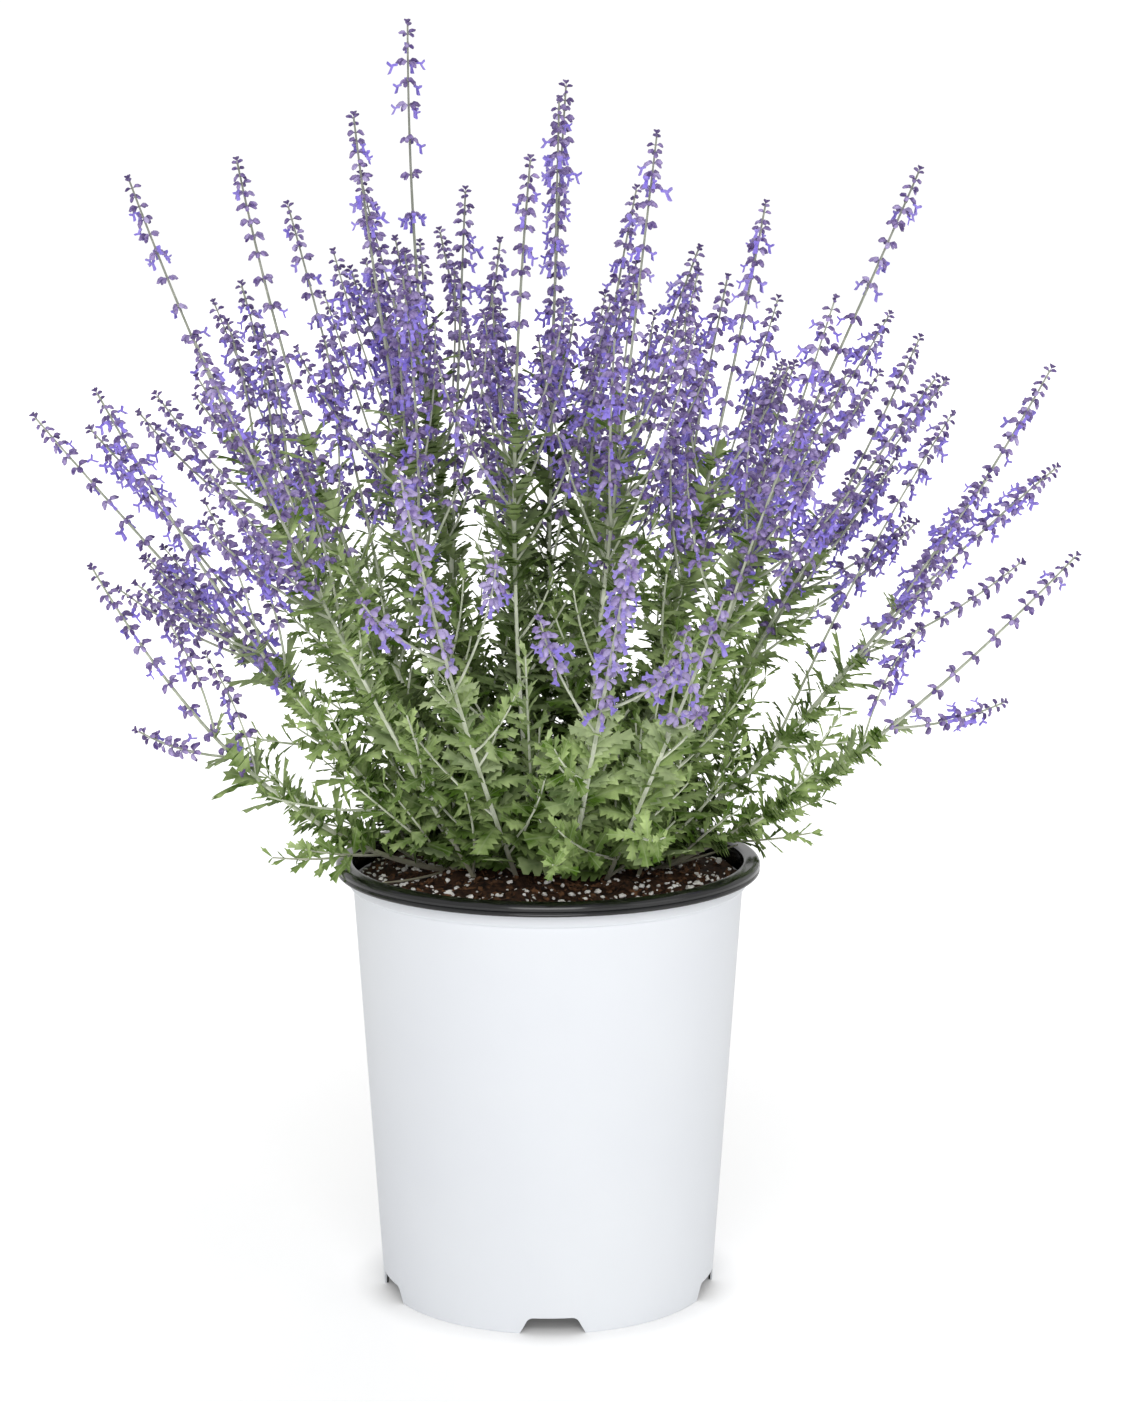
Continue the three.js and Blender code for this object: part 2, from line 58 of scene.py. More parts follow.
# Pot wall
# The pot is one thin moulding with a white skin outside. The skin tapers down from a collar
# under the rim to the foot ring, where five notches are cut for drainage.
RIM_FOOT = 191 * MM
COLLAR_FOOT = 184.5 * MM
COLLAR_STEP = 1.5 * MM
COLLAR_RADIUS = 89.2 * MM
WALL_TOP_RADIUS = 87.2 * MM
FOOT_RADIUS = 75 * MM
FOOT_ROUND = 0.4 * MM
SKIN = 0.8 * MM
NOTCHES = 5
NOTCH_AZIMUTH = math.radians(1.7)
NOTCH_HEIGHT = 7.4 * MM
NOTCH_TOP = 21 * MM
NOTCH_FOOT = 31 * MM
NOTCH_ROUND = 1.8 * MM
CUTTER_DEPTH = 16 * MM
CUTTER_BELOW = 2 * MM
POT_SIDES = 128
POT_CREASE = 30


def paint(red, green, blue):
    """A colour given as it shows on screen, from 0 to 255."""
    shown = np.array([red, green, blue]) / 255
    linear = np.where(shown > 0.04045, ((shown + 0.055) / 1.055) ** 2.4, shown / 12.92)
    return (*linear.tolist(), 1.0)


def added(tree, kind, **given):
    """Adds a shader node. Names in lower case are its settings, and the rest its sockets."""
    node = tree.nodes.new(f"ShaderNode{kind}")
    for name, value in given.items():
        if name.islower():
            setattr(node, name, value)
        elif isinstance(value, bpy.types.NodeSocket):
            tree.links.new(value, node.inputs[name.replace("_", " ")])
        else:
            node.inputs[name.replace("_", " ")].default_value = value
    return node


def mottle_effect():
    """A coarse noise mixes two colours, and a fine one is the height of a relief."""
    tree = bpy.data.node_groups.new("mottle", "ShaderNodeTree")
    for name, kind in (("Coarse", "Float"), ("Fine", "Float"), ("Dark", "Color"), ("Light", "Color")):
        tree.interface.new_socket(name, in_out="INPUT", socket_type=f"NodeSocket{kind}")
    for name, kind in (("Colour", "Color"), ("Height", "Float")):
        tree.interface.new_socket(name, in_out="OUTPUT", socket_type=f"NodeSocket{kind}")
    given = tree.nodes.new("NodeGroupInput").outputs
    result = tree.nodes.new("NodeGroupOutput").inputs
    place = added(tree, "TexCoord").outputs["Object"]
    coarse = added(tree, "TexNoise", Vector=place, Scale=given["Coarse"], Detail=3)
    fine = added(tree, "TexNoise", Vector=place, Scale=given["Fine"], Detail=4)
    patches = added(tree, "MapRange", Value=coarse.outputs["Fac"], From_Min=0.35, From_Max=0.65)
    share = patches.outputs["Result"]
    mix = added(tree, "Mix", data_type="RGBA", Factor=share, A=given["Dark"], B=given["Light"])
    tree.links.new(mix.outputs["Result"], result["Colour"])
    tree.links.new(fine.outputs["Fac"], result["Height"])
    return tree


MOTTLE = mottle_effect()


def mottled_finish(name, dark, light, coarse, fine, relief, **shader_values):
    """A material of two mottled colours with a fine relief."""
    material = bpy.data.materials.new(name)
    material.use_nodes = True
    tree = material.node_tree
    shader = tree.nodes["Principled BSDF"]
    colours = {"Dark": paint(*dark), "Light": paint(*light)}
    mottle = added(tree, "Group", node_tree=MOTTLE, Coarse=coarse, Fine=fine, **colours).outputs
    bump = added(tree, "Bump", Strength=0.5, Distance=relief, Height=mottle["Height"])
    tree.links.new(mottle["Colour"], shader.inputs["Base Color"])
    tree.links.new(bump.outputs["Normal"], shader.inputs["Normal"])
    for socket, value in shader_values.items():
        shader.inputs[socket.replace("_", " ")].default_value = value
    return material


def edit_all():
    bpy.ops.object.mode_set(mode="EDIT")
    bpy.ops.mesh.select_all(action="SELECT")


def begun(primitive, **sizes):
    """Adds a primitive and opens it in edit mode, with all of it selected."""
    bpy.ops.object.select_all(action="DESELECT")
    getattr(bpy.ops.mesh, f"primitive_{primitive}_add")(**sizes)
    edit_all()
    return bpy.context.object


def leave_edit():
    bpy.ops.object.mode_set(mode="OBJECT")


def move(*way):
    bpy.ops.transform.translate(value=way)


def arc(radius_at, height_at, radius, start, end, steps):
    """A round corner of a profile, from one angle in degrees to another."""
    angles = np.radians(np.linspace(start, end, steps))
    return [(radius_at + radius * math.cos(a), height_at + radius * math.sin(a)) for a in angles]


def turned_wall(name, profile, sides=POT_SIDES):
    """A ring of edges at the profile's first point, extruded through the rest."""
    radius, height = profile[0]
    piece = begun("circle", vertices=sides, radius=radius)
    piece.name = name
    move(0, 0, height)
    for next_radius, next_height in profile[1:]:
        rise = (0, 0, next_height - height)
        bpy.ops.mesh.extrude_region_move(TRANSFORM_OT_translate={"value": rise})
        ratio = next_radius / radius
        bpy.ops.transform.resize(value=(ratio, ratio, 1), center_override=(0, 0, next_height))
        radius, height = next_radius, next_height
    bpy.ops.mesh.select_all(action="SELECT")
    bpy.ops.mesh.remove_doubles(threshold=0.01 * MM)
    bpy.ops.mesh.normals_make_consistent(inside=False)
    leave_edit()
    return piece


def only(piece):
    """Selects one piece and makes it active."""
    bpy.ops.object.select_all(action="DESELECT")
    piece.select_set(True)
    bpy.context.view_layer.objects.active = piece


def choose(piece, kind, test):
    """Selects only the corners, edges or faces that pass a test of their place."""
    bpy.ops.mesh.select_mode(type={"vertices": "VERT", "edges": "EDGE", "polygons": "FACE"}[kind])
    bpy.ops.mesh.select_all(action="DESELECT")
    leave_edit()
    mesh = piece.data
    for item in getattr(mesh, kind):
        corners = [item.index] if kind == "vertices" else item.vertices
        item.select = bool(test([mesh.vertices[corner].co for corner in corners]))
    bpy.ops.object.mode_set(mode="EDIT")


def repeat_round():
    """Copies what is selected to the place of every notch round the pot."""
    turn = 2 * math.pi * (NOTCHES - 1) / NOTCHES
    bpy.ops.mesh.spin(steps=NOTCHES - 1, dupli=True, angle=turn, center=(0, 0, 0), axis=(0, 0, 1))


def notch_cutter():
    """A trapezoid block with rounded upper corners, repeated round the foot ring."""
    cutter = begun("cube", size=1)
    height = NOTCH_HEIGHT + CUTTER_BELOW
    bpy.ops.transform.resize(value=(NOTCH_FOOT, CUTTER_DEPTH, height))
    move(0, -FOOT_RADIUS, height / 2 - CUTTER_BELOW)
    choose(cutter, "polygons", lambda corners: all(c.z > 0 for c in corners))
    bpy.ops.transform.resize(value=(NOTCH_TOP / NOTCH_FOOT, 1, 1))
    upper_sides = lambda ends: all(c.z > 0 for c in ends) and abs(ends[0].x - ends[1].x) < MM
    choose(cutter, "edges", upper_sides)
    bpy.ops.mesh.bevel(offset=NOTCH_ROUND, segments=4)
    bpy.ops.mesh.select_all(action="SELECT")
    repeat_round()
    leave_edit()
    cutter.rotation_euler.z = NOTCH_AZIMUTH
    bpy.ops.object.transform_apply(rotation=True)
    return cutter


def cut_away(piece, cutter):
    only(piece)
    cut = piece.modifiers.new("cut", "BOOLEAN")
    cut.operation = "DIFFERENCE"
    cut.solver = "EXACT"
    cut.object = cutter
    bpy.ops.object.modifier_apply(modifier=cut.name)


def shaded(piece, degrees):
    """Smooth, but for its sharper edges."""
    only(piece)
    bpy.ops.object.shade_smooth_by_angle(angle=math.radians(degrees))


def belongs(piece, node):
    """A piece rides with the plant and takes a node's place."""
    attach(piece, "root")
    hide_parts(node)


foot_inside = FOOT_RADIUS - SKIN
collar_inside = COLLAR_RADIUS - SKIN
top_inside = WALL_TOP_RADIUS - SKIN
wall_profile = [
    (foot_inside, FOOT_ROUND),
    (FOOT_RADIUS - SKIN / 2, 0),
    (FOOT_RADIUS, FOOT_ROUND),
    (WALL_TOP_RADIUS, COLLAR_FOOT),
    (COLLAR_RADIUS - 0.5 * MM, COLLAR_FOOT + COLLAR_STEP * 0.5),
    (COLLAR_RADIUS, COLLAR_FOOT + COLLAR_STEP),
    (COLLAR_RADIUS, RIM_FOOT + 0.2 * MM),
    (collar_inside, RIM_FOOT + 0.2 * MM),
    (collar_inside, COLLAR_FOOT + COLLAR_STEP),
    (top_inside, COLLAR_FOOT),
    (foot_inside, FOOT_ROUND),
]
pot_wall = turned_wall("pot_wall", wall_profile)
notches = notch_cutter()
cut_away(pot_wall, notches)
shaded(pot_wall, POT_CREASE)
white_skin = mottled_finish(
    "white pot skin", (233, 236, 241), (237, 240, 244),
    coarse=9, fine=900, relief=0.05 * MM, Roughness=0.42, Specular_IOR_Level=0.4,
)
pot_wall.data.materials.append(white_skin)
belongs(pot_wall, "pot")


# Pot rim and lining
# The same moulding is black inside. Its lip is rolled over into a low rim with a bead along its
# lower edge, and a raised floor with drain holes spans the foot.
POT_HEIGHT = 196.5 * MM
RIM_RADIUS = 95 * MM
RIM_ROUND = 2.5 * MM
MOUTH_RADIUS = 87.3 * MM
MOUTH_ROUND = 1.4 * MM
BEAD_RADIUS = 0.8 * MM
FLOOR = 9 * MM
LINING = 0.8 * MM
LINING_FOOT = 0.3 * MM
DRAIN_RADIUS = 6 * MM
DRAIN_DISTANCE = 58 * MM
AXIS = 0.001 * MM

bead_out = RIM_RADIUS - 0.2 * MM - BEAD_RADIUS
lining_profile = [
    (AXIS, FLOOR),
    (foot_inside - 2 * LINING, FLOOR),
    (foot_inside - LINING, FLOOR - LINING),
    (foot_inside - LINING, LINING_FOOT),
    (foot_inside, LINING_FOOT),
    (top_inside, COLLAR_FOOT),
    (collar_inside, COLLAR_FOOT + COLLAR_STEP),
    (collar_inside, RIM_FOOT + 1 * MM),
    (bead_out - 3 * MM, RIM_FOOT + 0.8 * MM),
    *arc(bead_out, RIM_FOOT + BEAD_RADIUS, BEAD_RADIUS, -110, 60, 8),
    (RIM_RADIUS - 0.75 * MM, RIM_FOOT + 1.75 * MM),
    (RIM_RADIUS - 0.5 * MM, RIM_FOOT + 2.05 * MM),
    (RIM_RADIUS - 0.1 * MM, RIM_FOOT + 2.5 * MM),
    *arc(RIM_RADIUS - RIM_ROUND, POT_HEIGHT - RIM_ROUND, RIM_ROUND, 5, 90, 8),
    (MOUTH_RADIUS + 2.6 * MM, POT_HEIGHT),
    *arc(MOUTH_RADIUS + MOUTH_ROUND, POT_HEIGHT - MOUTH_ROUND, MOUTH_ROUND, 95, 180, 5),
    (MOUTH_RADIUS - 0.2 * MM, RIM_FOOT + 1.5 * MM),
    (collar_inside - LINING, COLLAR_FOOT + COLLAR_STEP),
    (top_inside - LINING, COLLAR_FOOT - 1 * MM),
    (foot_inside - LINING, FLOOR + 3 * LINING),
    (foot_inside - 3 * LINING, FLOOR + 2 * LINING),
    (AXIS, FLOOR + 2 * LINING),
]
pot_lining = turned_wall("pot_rim_and_lining", lining_profile)
cut_away(pot_lining, notches)
over_floor = (0, 0, FLOOR + LINING)
drains = begun("cylinder", vertices=24, radius=DRAIN_RADIUS, depth=8 * LINING, location=over_floor)
move(0, -DRAIN_DISTANCE, 0)
repeat_round()
leave_edit()
cut_away(pot_lining, drains)
shaded(pot_lining, POT_CREASE)
for cutter in (notches, drains):
    bpy.data.objects.remove(cutter)
black_lining = mottled_finish(
    "black pot lining", (13, 14, 15), (20, 21, 22),
    coarse=30, fine=700, relief=0.04 * MM, Roughness=0.16, Specular_IOR_Level=0.6,
)
pot_lining.data.materials.append(black_lining)
belongs(pot_lining, "pot")


# Soil
# The pot is filled to just under its rim with a dark, damp mix of peat and fine bark. It is
# lumpy on top, mounded a little round the crown, and whole root ball below.
SOIL_EDGE_HEIGHT = 186 * MM
SOIL_SHOULDER = 14 * MM
SOIL_CROWN_RISE = 10 * MM
SOIL_CROWN_RADIUS = 42 * MM
SOIL_LUMP = 1.4 * MM
SOIL_RADIUS = 85.2 * MM
SOIL_FLOOR = 11.2 * MM
SOIL_RINGS = 30
SOIL_SIDES = 96
CRUMB_RELIEF = 2.2 * MM
COARSE_CRUMBS = 260
FINE_CRUMBS = 620


def soil_height(x, y):
    """The smooth lie of the soil, as the stems' feet stand on it."""
    mound = SOIL_CROWN_RISE * np.exp(-(x * x + y * y) / (2 * SOIL_CROWN_RADIUS**2))
    lumps = np.sin(210 * x + 1) * np.cos(170 * y) + 0.6 * np.sin(110 * x - 290 * y)
    return SOIL_EDGE_HEIGHT + mound + SOIL_LUMP * lumps


soil_profile = [
    (AXIS, SOIL_FLOOR),
    (FOOT_RADIUS - 4 * MM, SOIL_FLOOR),
    (SOIL_RADIUS - 1.4 * MM, SOIL_EDGE_HEIGHT - SOIL_SHOULDER),
]
soil_profile += [
    (max(AXIS, SOIL_RADIUS * (1 - ring / SOIL_RINGS)), SOIL_EDGE_HEIGHT)
    for ring in range(SOIL_RINGS + 1)
]
soil = turned_wall("soil_mix", soil_profile, SOIL_SIDES)
for corner in soil.data.vertices:
    place = corner.co
    if place.z > SOIL_EDGE_HEIGHT - 1 * MM:
        crumbs = noise.noise(place * COARSE_CRUMBS) + 0.7 * noise.noise(place * FINE_CRUMBS)
        place.z = soil_height(place.x, place.y) + CRUMB_RELIEF * crumbs
shaded(soil, 50)
dark_mix = mottled_finish(
    "damp potting mix", (24, 15, 10), (74, 50, 34),
    coarse=420, fine=1500, relief=0.9 * MM, Roughness=0.9, Specular_IOR_Level=0.25,
)
soil.data.materials.append(dark_mix)
belongs(soil, "soil")


# Crumbs, bark and perlite
# Loose bark crumbs and chips lie all over the soil. Pale, puffed perlite grains as large as
# rice lie among them, more of them towards the rim.
CRUMB_SIZES = (1.4 * MM, 4.2 * MM)
BARK_SIZES = (4 * MM, 9 * MM)
PERLITE_SIZES = (1.0 * MM, 3.7 * MM)
SCATTER_RADIUS = 83.4 * MM
GRAIN_ROUGHNESS = 0.16


class Shape:
    """The corners and faces of a modelled piece, kept for copying."""

    def __init__(self, piece):
        mesh = piece.data
        self.corners = np.array([corner.co for corner in mesh.vertices], float)
        self.loops = np.array([loop.vertex_index for loop in mesh.loops])
        self.sizes = np.array([face.loop_total for face in mesh.polygons])
        self.length = self.corners[:, 0].max()
        self.half_width = np.abs(self.corners[:, 1]).max()
        bpy.data.objects.remove(piece)


def gathered(name, batches, finishes, degrees, node):
    """One piece from batches of copies. A batch is a shape, the corners of every copy, the
    number of its finish, and what each corner carries for the finish to read."""
    corners = np.concatenate([placed.reshape(-1, 3) for _, placed, _, _ in batches])
    carried = np.concatenate([growth.reshape(-1, 3) for _, _, _, growth in batches])
    loops, sizes, numbers, first = [], [], [], 0
    for shape, placed, number, _ in batches:
        count, each = placed.shape[:2]
        starts = first + each * np.arange(count)
        loops.append((shape.loops[None] + starts[:, None]).ravel())
        sizes.append(np.tile(shape.sizes, count))
        numbers.append(np.full(count * len(shape.sizes), number))
        first += count * each
    loops, sizes, numbers = (np.concatenate(part) for part in (loops, sizes, numbers))
    mesh = bpy.data.meshes.new(name)
    mesh.vertices.add(len(corners))
    mesh.vertices.foreach_set("co", corners.ravel())
    mesh.loops.add(len(loops))
    mesh.loops.foreach_set("vertex_index", loops)
    mesh.polygons.add(len(sizes))
    mesh.polygons.foreach_set("loop_start", np.cumsum(sizes) - sizes)
    for finish in finishes:
        mesh.materials.append(finish)
    mesh.polygons.foreach_set("material_index", numbers)
    mesh.update(calc_edges=True)
    growth = mesh.attributes.new("growth", "FLOAT_VECTOR", "POINT")
    growth.data.foreach_set("vector", carried.ravel())
    piece = bpy.data.objects.new(name, mesh)
    bpy.context.scene.collection.objects.link(piece)
    shaded(piece, degrees)
    belongs(piece, node)


def rough_grain(stretch, seed):
    """A ball of few faces, one unit across, pulled out of round."""
    grain = begun("ico_sphere", subdivisions=1, radius=0.5)
    bpy.ops.transform.vertex_random(offset=GRAIN_ROUGHNESS, uniform=1.0, seed=seed)
    bpy.ops.transform.resize(value=stretch)
    leave_edit()
    return Shape(grain)


def strewn(name, grains, count, sizes, rim_bias, sunk, finish):
    """Grains strewn over the soil, each a little sunk in it."""
    batches = []
    for grain in grains:
        each = count // len(grains)
        radius = SCATTER_RADIUS * chance.random(each) ** rim_bias
        azimuth = 2 * math.pi * chance.random(each)
        x, y = radius * np.cos(azimuth), radius * np.sin(azimuth)
        size = sizes[0] + (sizes[1] - sizes[0]) * chance.random(each) ** 1.6
        height = soil_height(x, y) + (0.5 - sunk) * size * np.abs(grain.corners[:, 2]).max() * 2
        any_way = [Quaternion(turn).normalized().to_matrix() for turn in chance.normal(size=(each, 4))]
        turns = np.array(any_way) * size[:, None, None]
        turns[:, 2] *= 0.75
        placed = np.einsum("nij,vj->nvi", turns, grain.corners)
        placed += np.stack([x, y, height], 1)[:, None]
        tone = np.repeat(chance.random(each), len(grain.corners)).reshape(each, -1)
        batches.append((grain, placed, 0, np.stack([tone * 0, tone * 0, tone], 2)))
    gathered(name, batches, [finish], 25, "soil")


chance = np.random.default_rng(11)
crumb_shapes = [rough_grain((1, 0.8, 0.6), 3), rough_grain((1.1, 0.6, 0.5), 8)]
bark_shapes = [rough_grain((1, 0.34, 0.16), 5), rough_grain((1, 0.5, 0.14), 6)]
perlite_shapes = [rough_grain((1, 0.9, 0.8), 1), rough_grain((1.1, 0.7, 0.7), 2)]
brown_crumb = mottled_finish(
    "bark crumb", (30, 19, 12), (120, 84, 56),
    coarse=240, fine=1800, relief=0.5 * MM, Roughness=0.85, Specular_IOR_Level=0.3,
)
perlite_white = mottled_finish(
    "perlite", (244, 240, 233), (255, 254, 251),
    coarse=300, fine=2500, relief=0.3 * MM, Roughness=0.8,
)
strewn("bark_crumbs", crumb_shapes, 2200, CRUMB_SIZES, rim_bias=0.5, sunk=0.45, finish=brown_crumb)
strewn("bark_chips", bark_shapes, 240, BARK_SIZES, rim_bias=0.5, sunk=0.3, finish=brown_crumb)
strewn(
    "perlite_grains", perlite_shapes, 900, PERLITE_SIZES, rim_bias=0.36, sunk=0.25,
    finish=perlite_white,
)


# Leafy stems
# Square stems rise from the crown and arch out, woody and brown at the foot and silvery green
# above. They carry pairs of cut, downy grey-green leaves, each pair turned a quarter from the
# last, with tufts of young leaves in their axils and short leafy shoots low down.

# Each stem in millimetres: its foot on the soil, the point that it bends towards, its tip, the
# share of its length where the flowers begin, and the tips of any long branches
STEMS = (
    ((-38, 12), (-118, 15, 262), (-226, 10, 392), 0.46),
    ((-43, -6), (-128, -30, 207), (-192, -60, 334), 0.5),
    ((-40, -16), (-115, -30, 262), (-190, -48, 407), 0.46, (-197, -20, 389)),
    ((-36, 24), (-126, 30, 330), (-184, 24, 495), 0.42),
    ((-26, 12), (-100, -4, 330), (-133, -10, 503), 0.42, (-114, 20, 484)),
    ((-28, 38), (-95, 84, 290), (-157, 112, 437), 0.46),
    ((-32, -24), (-88, -64, 300), (-142, -102, 432), 0.46),
    ((-20, -10), (-62, -22, 340), (-82, -24, 522), 0.42, (-79, 40, 451)),
    ((-16, 14), (-62, 20, 370), (-61, 22, 562), 0.42, (-69, 60, 468), (-37, 50, 490)),
    ((-18, 38), (-60, 108, 300), (-108, 152, 439), 0.46),
    ((-6, -8), (-22, -38, 345), (-7, -46, 504), 0.42),
    ((-6, 46), (-18, 122, 300), (-27, 186, 434), 0.48, (-50, 90, 471)),
    ((2, 8), (-4, 16, 360), (8, 24, 536), 0.42, (5, 0, 529), (27, -20, 444)),
    ((6, 34), (8, 84, 330), (41, 112, 490), 0.44, (68, 60, 464)),
    ((12, -6), (26, -48, 345), (45, -72, 514), 0.42, (37, -60, 462)),
    ((16, 46), (26, 122, 290), (52, 192, 428), 0.48),
    ((24, -2), (66, -12, 330), (93, -20, 485), 0.42, (78, 0, 453), (69, 40, 425)),
    ((26, 36), (62, 92, 290), (109, 132, 438), 0.46, (104, 60, 410)),
    ((20, 18), (92, 24, 330), (162, 14, 499), 0.42),
    ((40, -18), (74, -60, 300), (117, -92, 448), 0.46, (124, -70, 416), (104, -110, 404)),
    ((36, 26), (104, 52, 280), (170, 72, 423), 0.46, (174, 40, 407), (186, 105, 401)),
    ((40, 10), (136, 10, 255), (221, 10, 413), 0.46, (184, 60, 389), (222, -5, 371)),
    ((46, 0), (130, -16, 226), (228, -28, 335), 0.5),
    ((-14, -28), (-42, -100, 290), (-57, -164, 386), 0.46),
    ((10, -25), (20, -112, 270), (33, -190, 360), 0.46),
    ((26, -27), (48, -96, 260), (70, -156, 334), 0.5),
)
# The tip of a flowerless leafy side stem, by the stem that it grows from
LEAFY_SIDES = {10: (-9, -84, 300)}
LEAFY_SIDE_SAG = 16 * MM
# The frame's foliage, pairs of leaves and shoots that stand alone: height up the stem, count,
# length in millimetres, rise in degrees and arch
FOLIAGE = (
    (0.08, 2, 29, 26, 0.2),
    (0.17, 1, 62, 36, -0.2),
    (0.3, 2, 28, 30, 0.18),
    (0.42, 1, 58, 38, -0.2),
    (0.58, 2, 25, 36, 0.15),
    (0.72, 1, 46, 40, -0.18),
    (0.9, 2, 21, 42, 0.12),
)
TURNS = [math.radians(turn) for turn in (0, 20, -20, 40, -40, 65, -65, 90, -90, 125, -125)]
RISE_RANGE = 14
FACE_FREEDOM = 0.7
QUARTER = math.pi / 2
STEM_FOOT_HALF = 0.9 * MM
STEM_BLOOM_HALF = 0.65 * MM
STEM_DEPTH_IN_SOIL = 6 * MM
# Stems that lean out furthest are barer near their flowers, and no leaf stands on a stem's
# lower side, so that it shows from outside
OUTER_STEMS = (0, 1, 2, 21, 22)
OUTER_BARE = 0.72
OUTER_TONE = -0.25
BARE_SIDE = -0.3
FRONT_BARE_SIDE = 0.15
LEAF_THICKNESS = 0.2 * MM
LEAF_PITCH = 7.5 * MM
LEAF_AT_FOOT = 23
LEAF_SHORTENING = 8
# Young leaves in each axil: their kind, and least and greatest length in millimetres
TUFT = ((2, (11, 16)), (3, (8, 13)), (4, (5, 9)))
SHOOT_HEIGHTS = (0.02, 0.07, 0.13, 0.24, 0.36, 0.5, 0.64, 0.8, 0.94)
SHOOT_LENGTHS = (32, 66)
SHOOT_SHORTENING = 0.35
SHOOT_BEND = (0.34, 0.4)
SHOOT_TIP = (0.5, 0.86)
SHOOT_HALF = 0.5 * MM
SHOOT_LEAF_PITCH = 6 * MM
BACK_SHOOTS_LONGER = 1.35
# A leaf tip over the pot stands this far over the soil near the crown, and more further out
CROWN_RADIUS = 40 * MM
CROWN_CLEARANCE = 2 * MM
OUTER_CLEARANCE = 9 * MM
MERGE = 0.005 * MM


def spread(index, turn=0):
    """A number from 0 to 1 that varies from piece to piece, as in the frame."""
    return (index * 0.618034 + turn * 0.754878) % 1


def unit(vector):
    return vector / np.linalg.norm(vector)


class Line:
    """A growing line: a curve from its foot, towards its bend, to its tip."""

    def __init__(self, foot, bend, tip, level):
        self.foot, self.bend, self.tip = (np.array(point, float) for point in (foot, bend, tip))
        self.level = unit(np.array(level, float))

    def point(self, share):
        rest = 1 - share
        return rest * rest * self.foot + 2 * rest * share * self.bend + share * share * self.tip

    def frame(self, share):
        """The point at a share of the line, and the ways along, across and outward."""
        along = unit((1 - share) * (self.bend - self.foot) + share * (self.tip - self.bend))
        outward = unit(np.cross(along, self.level))
        return self.point(share), along, unit(np.cross(outward, along)), outward

    def length(self):
        steps = np.array([self.point(share) for share in np.linspace(0, 1, 60)])
        return np.linalg.norm(np.diff(steps, axis=0), axis=1).sum()


def stem_line(foot, bend, tip):
    foot = np.array(foot) * MM
    foot = np.array([*foot, soil_height(*foot)])
    bend, tip = (np.array(point) * MM for point in (bend, tip))
    lean = tip - foot
    return Line(foot, bend, tip, (-lean[1], lean[0], 0))


def branch_line(root, azimuth, length, bend, tip):
    """A branch that leaves a line at an azimuth round it and curves up beside it."""
    point, along, across, outward = root
    side = across * math.cos(azimuth) + outward * math.sin(azimuth)
    bend_point = point + side * bend[0] * length + along * bend[1] * length
    tip_point = point + side * tip[0] * length + along * tip[1] * length
    return Line(point, bend_point, tip_point, np.cross(side, along))


def surface_of(node):
    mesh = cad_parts[node].data
    corners = [corner.co for corner in mesh.vertices]
    return BVHTree.FromPolygons(corners, [face.vertices for face in mesh.polygons])


def azimuth_in_frame(surface, azimuths, tip_at, reach):
    """The azimuth at which the frame holds a piece, whose tip lies on the node."""
    gaps = [surface.find_nearest(Vector(tip_at(azimuth)))[3] for azimuth in azimuths]
    best = int(np.argmin(gaps))
    return azimuths[best] if gaps[best] < reach else None


def leaned(azimuth):
    """A blade leans only so far from the way that the side of its square stem faces."""
    facing = math.floor(azimuth / QUARTER + 0.5) * QUARTER
    return facing + (azimuth - facing) * FACE_FREEDOM


def opposite(pair, chance, uneven=0.3):
    """The azimuths of two opposite leaves, each pair turned a quarter from the last."""
    for side in range(2):
        yield math.pi * side + QUARTER * pair + uneven * chance.normal()


def directions(frame_at, azimuth, rise):
    """The ways ahead, across and up of a piece at an azimuth round its stem."""
    _, along, across_stem, outward = frame_at
    side = across_stem * math.cos(azimuth) + outward * math.sin(azimuth)
    ahead = side * math.cos(rise) + along * math.sin(rise)
    across = unit(np.cross(along, side))
    return ahead, across, unit(np.cross(ahead, across))


def off_bare_side(azimuth, bare_side):
    """Turns what would stand on the lower side of a leaning stem to its left or right."""
    if math.sin(azimuth) > bare_side:
        return azimuth
    edge = math.asin(bare_side)
    return edge if math.cos(azimuth) > 0 else math.pi - edge


def leaf_half_width(share):
    """An oblong outline on a short stalk, widest past its middle, with a blunt tip."""
    if share < 0.12:
        return 0.09
    return 0.35 + 0.65 * math.sin(math.pi * min(1, 0.12 + share * 0.88) ** 1.2) ** 0.7


